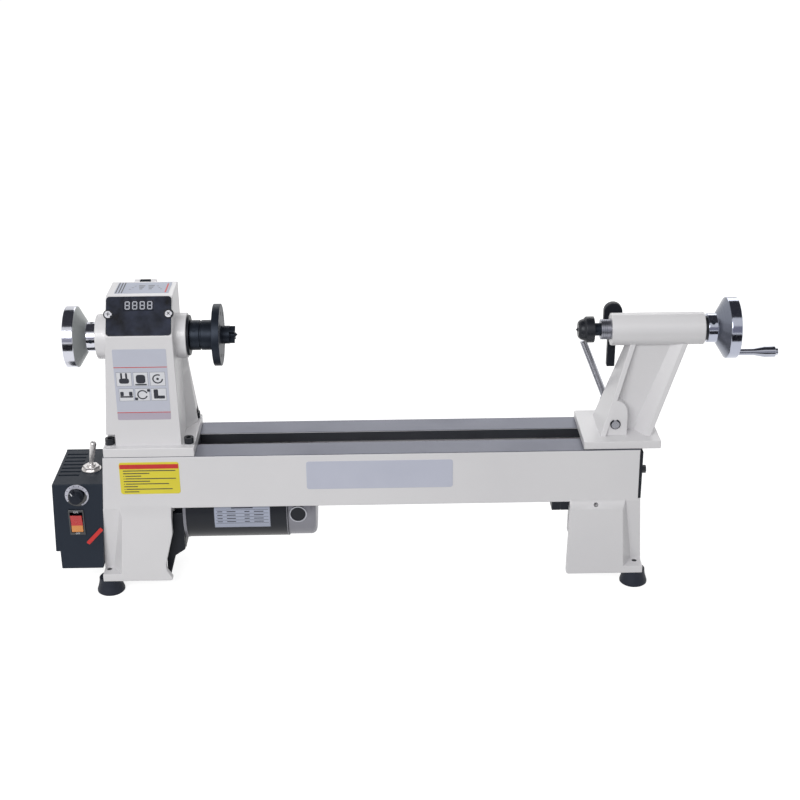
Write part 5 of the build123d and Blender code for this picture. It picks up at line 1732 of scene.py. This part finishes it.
@dataclass(frozen=True)
class Card:
    """A dark card that only mirrors see, as a studio puts round bright metal.

    Attributes:
        name: Its name.
        place: The middle of the card.
        aim: What it faces.
        size: Its width and height.
        tone: Its grey.
    """

    name: str
    place: Triple
    aim: Triple
    size: Pair
    tone: float = 0.02

    def build(self) -> None:
        """Hang the card."""
        turn = (Vector(self.aim) - Vector(self.place)).to_track_quat("Z", "Y").to_matrix().to_4x4()
        card = flat_sheet(self.name, self.size, Matrix.Translation(self.place) @ turn)
        tree, surface = empty_paint(card, self.name)
        grey = (self.tone, self.tone, self.tone * 1.2, 1)
        tree.links.new(add_node(tree, "ShaderNodeEmission", {"Color": grey}).outputs[0], surface)
        card.visible_camera = False
        card.visible_diffuse = False
        card.visible_shadow = False
        card.visible_transmission = False


@dataclass(frozen=True)
class Studio:
    """The pale floor, the even background, the lamps and the dark cards.

    Attributes:
        floor_size: The width and depth of the floor in metres.
        floor_tone: The floor's own grey.
        floor_lift: The light that the floor adds to what the camera sees.
        fill: The strength of the even light from all round.
        lamps: The soft lamps.
        cards: The dark cards.
    """

    floor_size: Pair = (24.0, 24.0)
    floor_tone: float = 0.5
    floor_lift: float = 0.84
    fill: float = 0.42
    lamps: tuple[Lamp, ...] = (
        Lamp("key_lamp", (-1.0, -2.4, 1.7), (0.0, 0.0, 0.2), (1.8, 1.0), 45.0),
        Lamp("top_lamp", (0.0, 0.2, 2.4), (0.0, 0.0, 0.2), (2.4, 1.0), 6.0),
        Lamp("rear_lamp", (0.2, 2.2, 1.6), (0.0, 0.0, 0.3), (2.0, 1.0), 10.0),
    )
    cards: tuple[Card, ...] = (
        Card("high_card", (0.0, 0.35, 1.8), (0.0, 0.35, 0.0), (4.0, 2.6), 0.05),
        Card("low_card", (0.0, -1.95, 0.012), (0.0, -1.95, 1.0), (4.0, 2.8)),
        Card("front_card", (0.0, -3.4, 1.15), (0.0, 0.0, 1.15), (5.0, 1.5), 0.35),
    )

    def build(self) -> None:
        """Lay the floor, set the background and hang the lamps and cards."""
        self._floor()
        self._background()
        for item in self.lamps + self.cards:
            item.build()
        bpy.context.scene.view_settings.view_transform = "Standard"

    def _floor(self) -> None:
        """Lay the floor, lifted to near white for the camera alone."""
        floor = flat_sheet("floor", self.floor_size, Matrix.Identity(4))
        tree, surface = empty_paint(floor, "floor_paint")
        grey = (self.floor_tone, self.floor_tone, self.floor_tone, 1)
        matt = add_node(tree, "ShaderNodeBsdfDiffuse", {"Color": grey}).outputs[0]
        glow = add_node(tree, "ShaderNodeEmission", {"Strength": self.floor_lift}).outputs[0]
        both = add_node(tree, "ShaderNodeAddShader", {0: matt, 1: glow}).outputs[0]
        chosen = add_node(tree, "ShaderNodeMixShader", {0: self._seen(tree), 1: matt, 2: both})
        tree.links.new(chosen.outputs[0], surface)

    @staticmethod
    def _seen(tree: Tree) -> Socket:
        """Return 1 for what the camera sees directly, in a mirror or through glass."""
        path = tree.nodes.new("ShaderNodeLightPath").outputs
        direct = calc(tree, "MAXIMUM", path["Is Camera Ray"], path["Is Glossy Ray"])
        return calc(tree, "MAXIMUM", direct, path["Is Transmission Ray"])

    def _background(self) -> None:
        """Set a background that is white to look at and gives an even fill light."""
        world = bpy.data.worlds.new("studio")
        bpy.context.scene.world = world
        world.use_nodes = True
        tree = world.node_tree
        level = ramp(tree, self._seen(tree), 0.0, 1.0, self.fill)
        fill(tree, tree.nodes["Background"], {"Color": (1, 1, 1, 1), "Strength": level})


def main() -> None:
    """Build the lathe's looks and the studio round it."""
    logging.basicConfig(level=logging.INFO, format="%(name)s: %(message)s")
    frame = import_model()
    nodes = frame["nodes"]
    for kind in (Bed, Headstock, Spindle, Drive, ControlBox, Tailstock):
        kind(nodes).build()
    Studio().build()
    Camera().build()


if __name__ == "__main__":
    main()
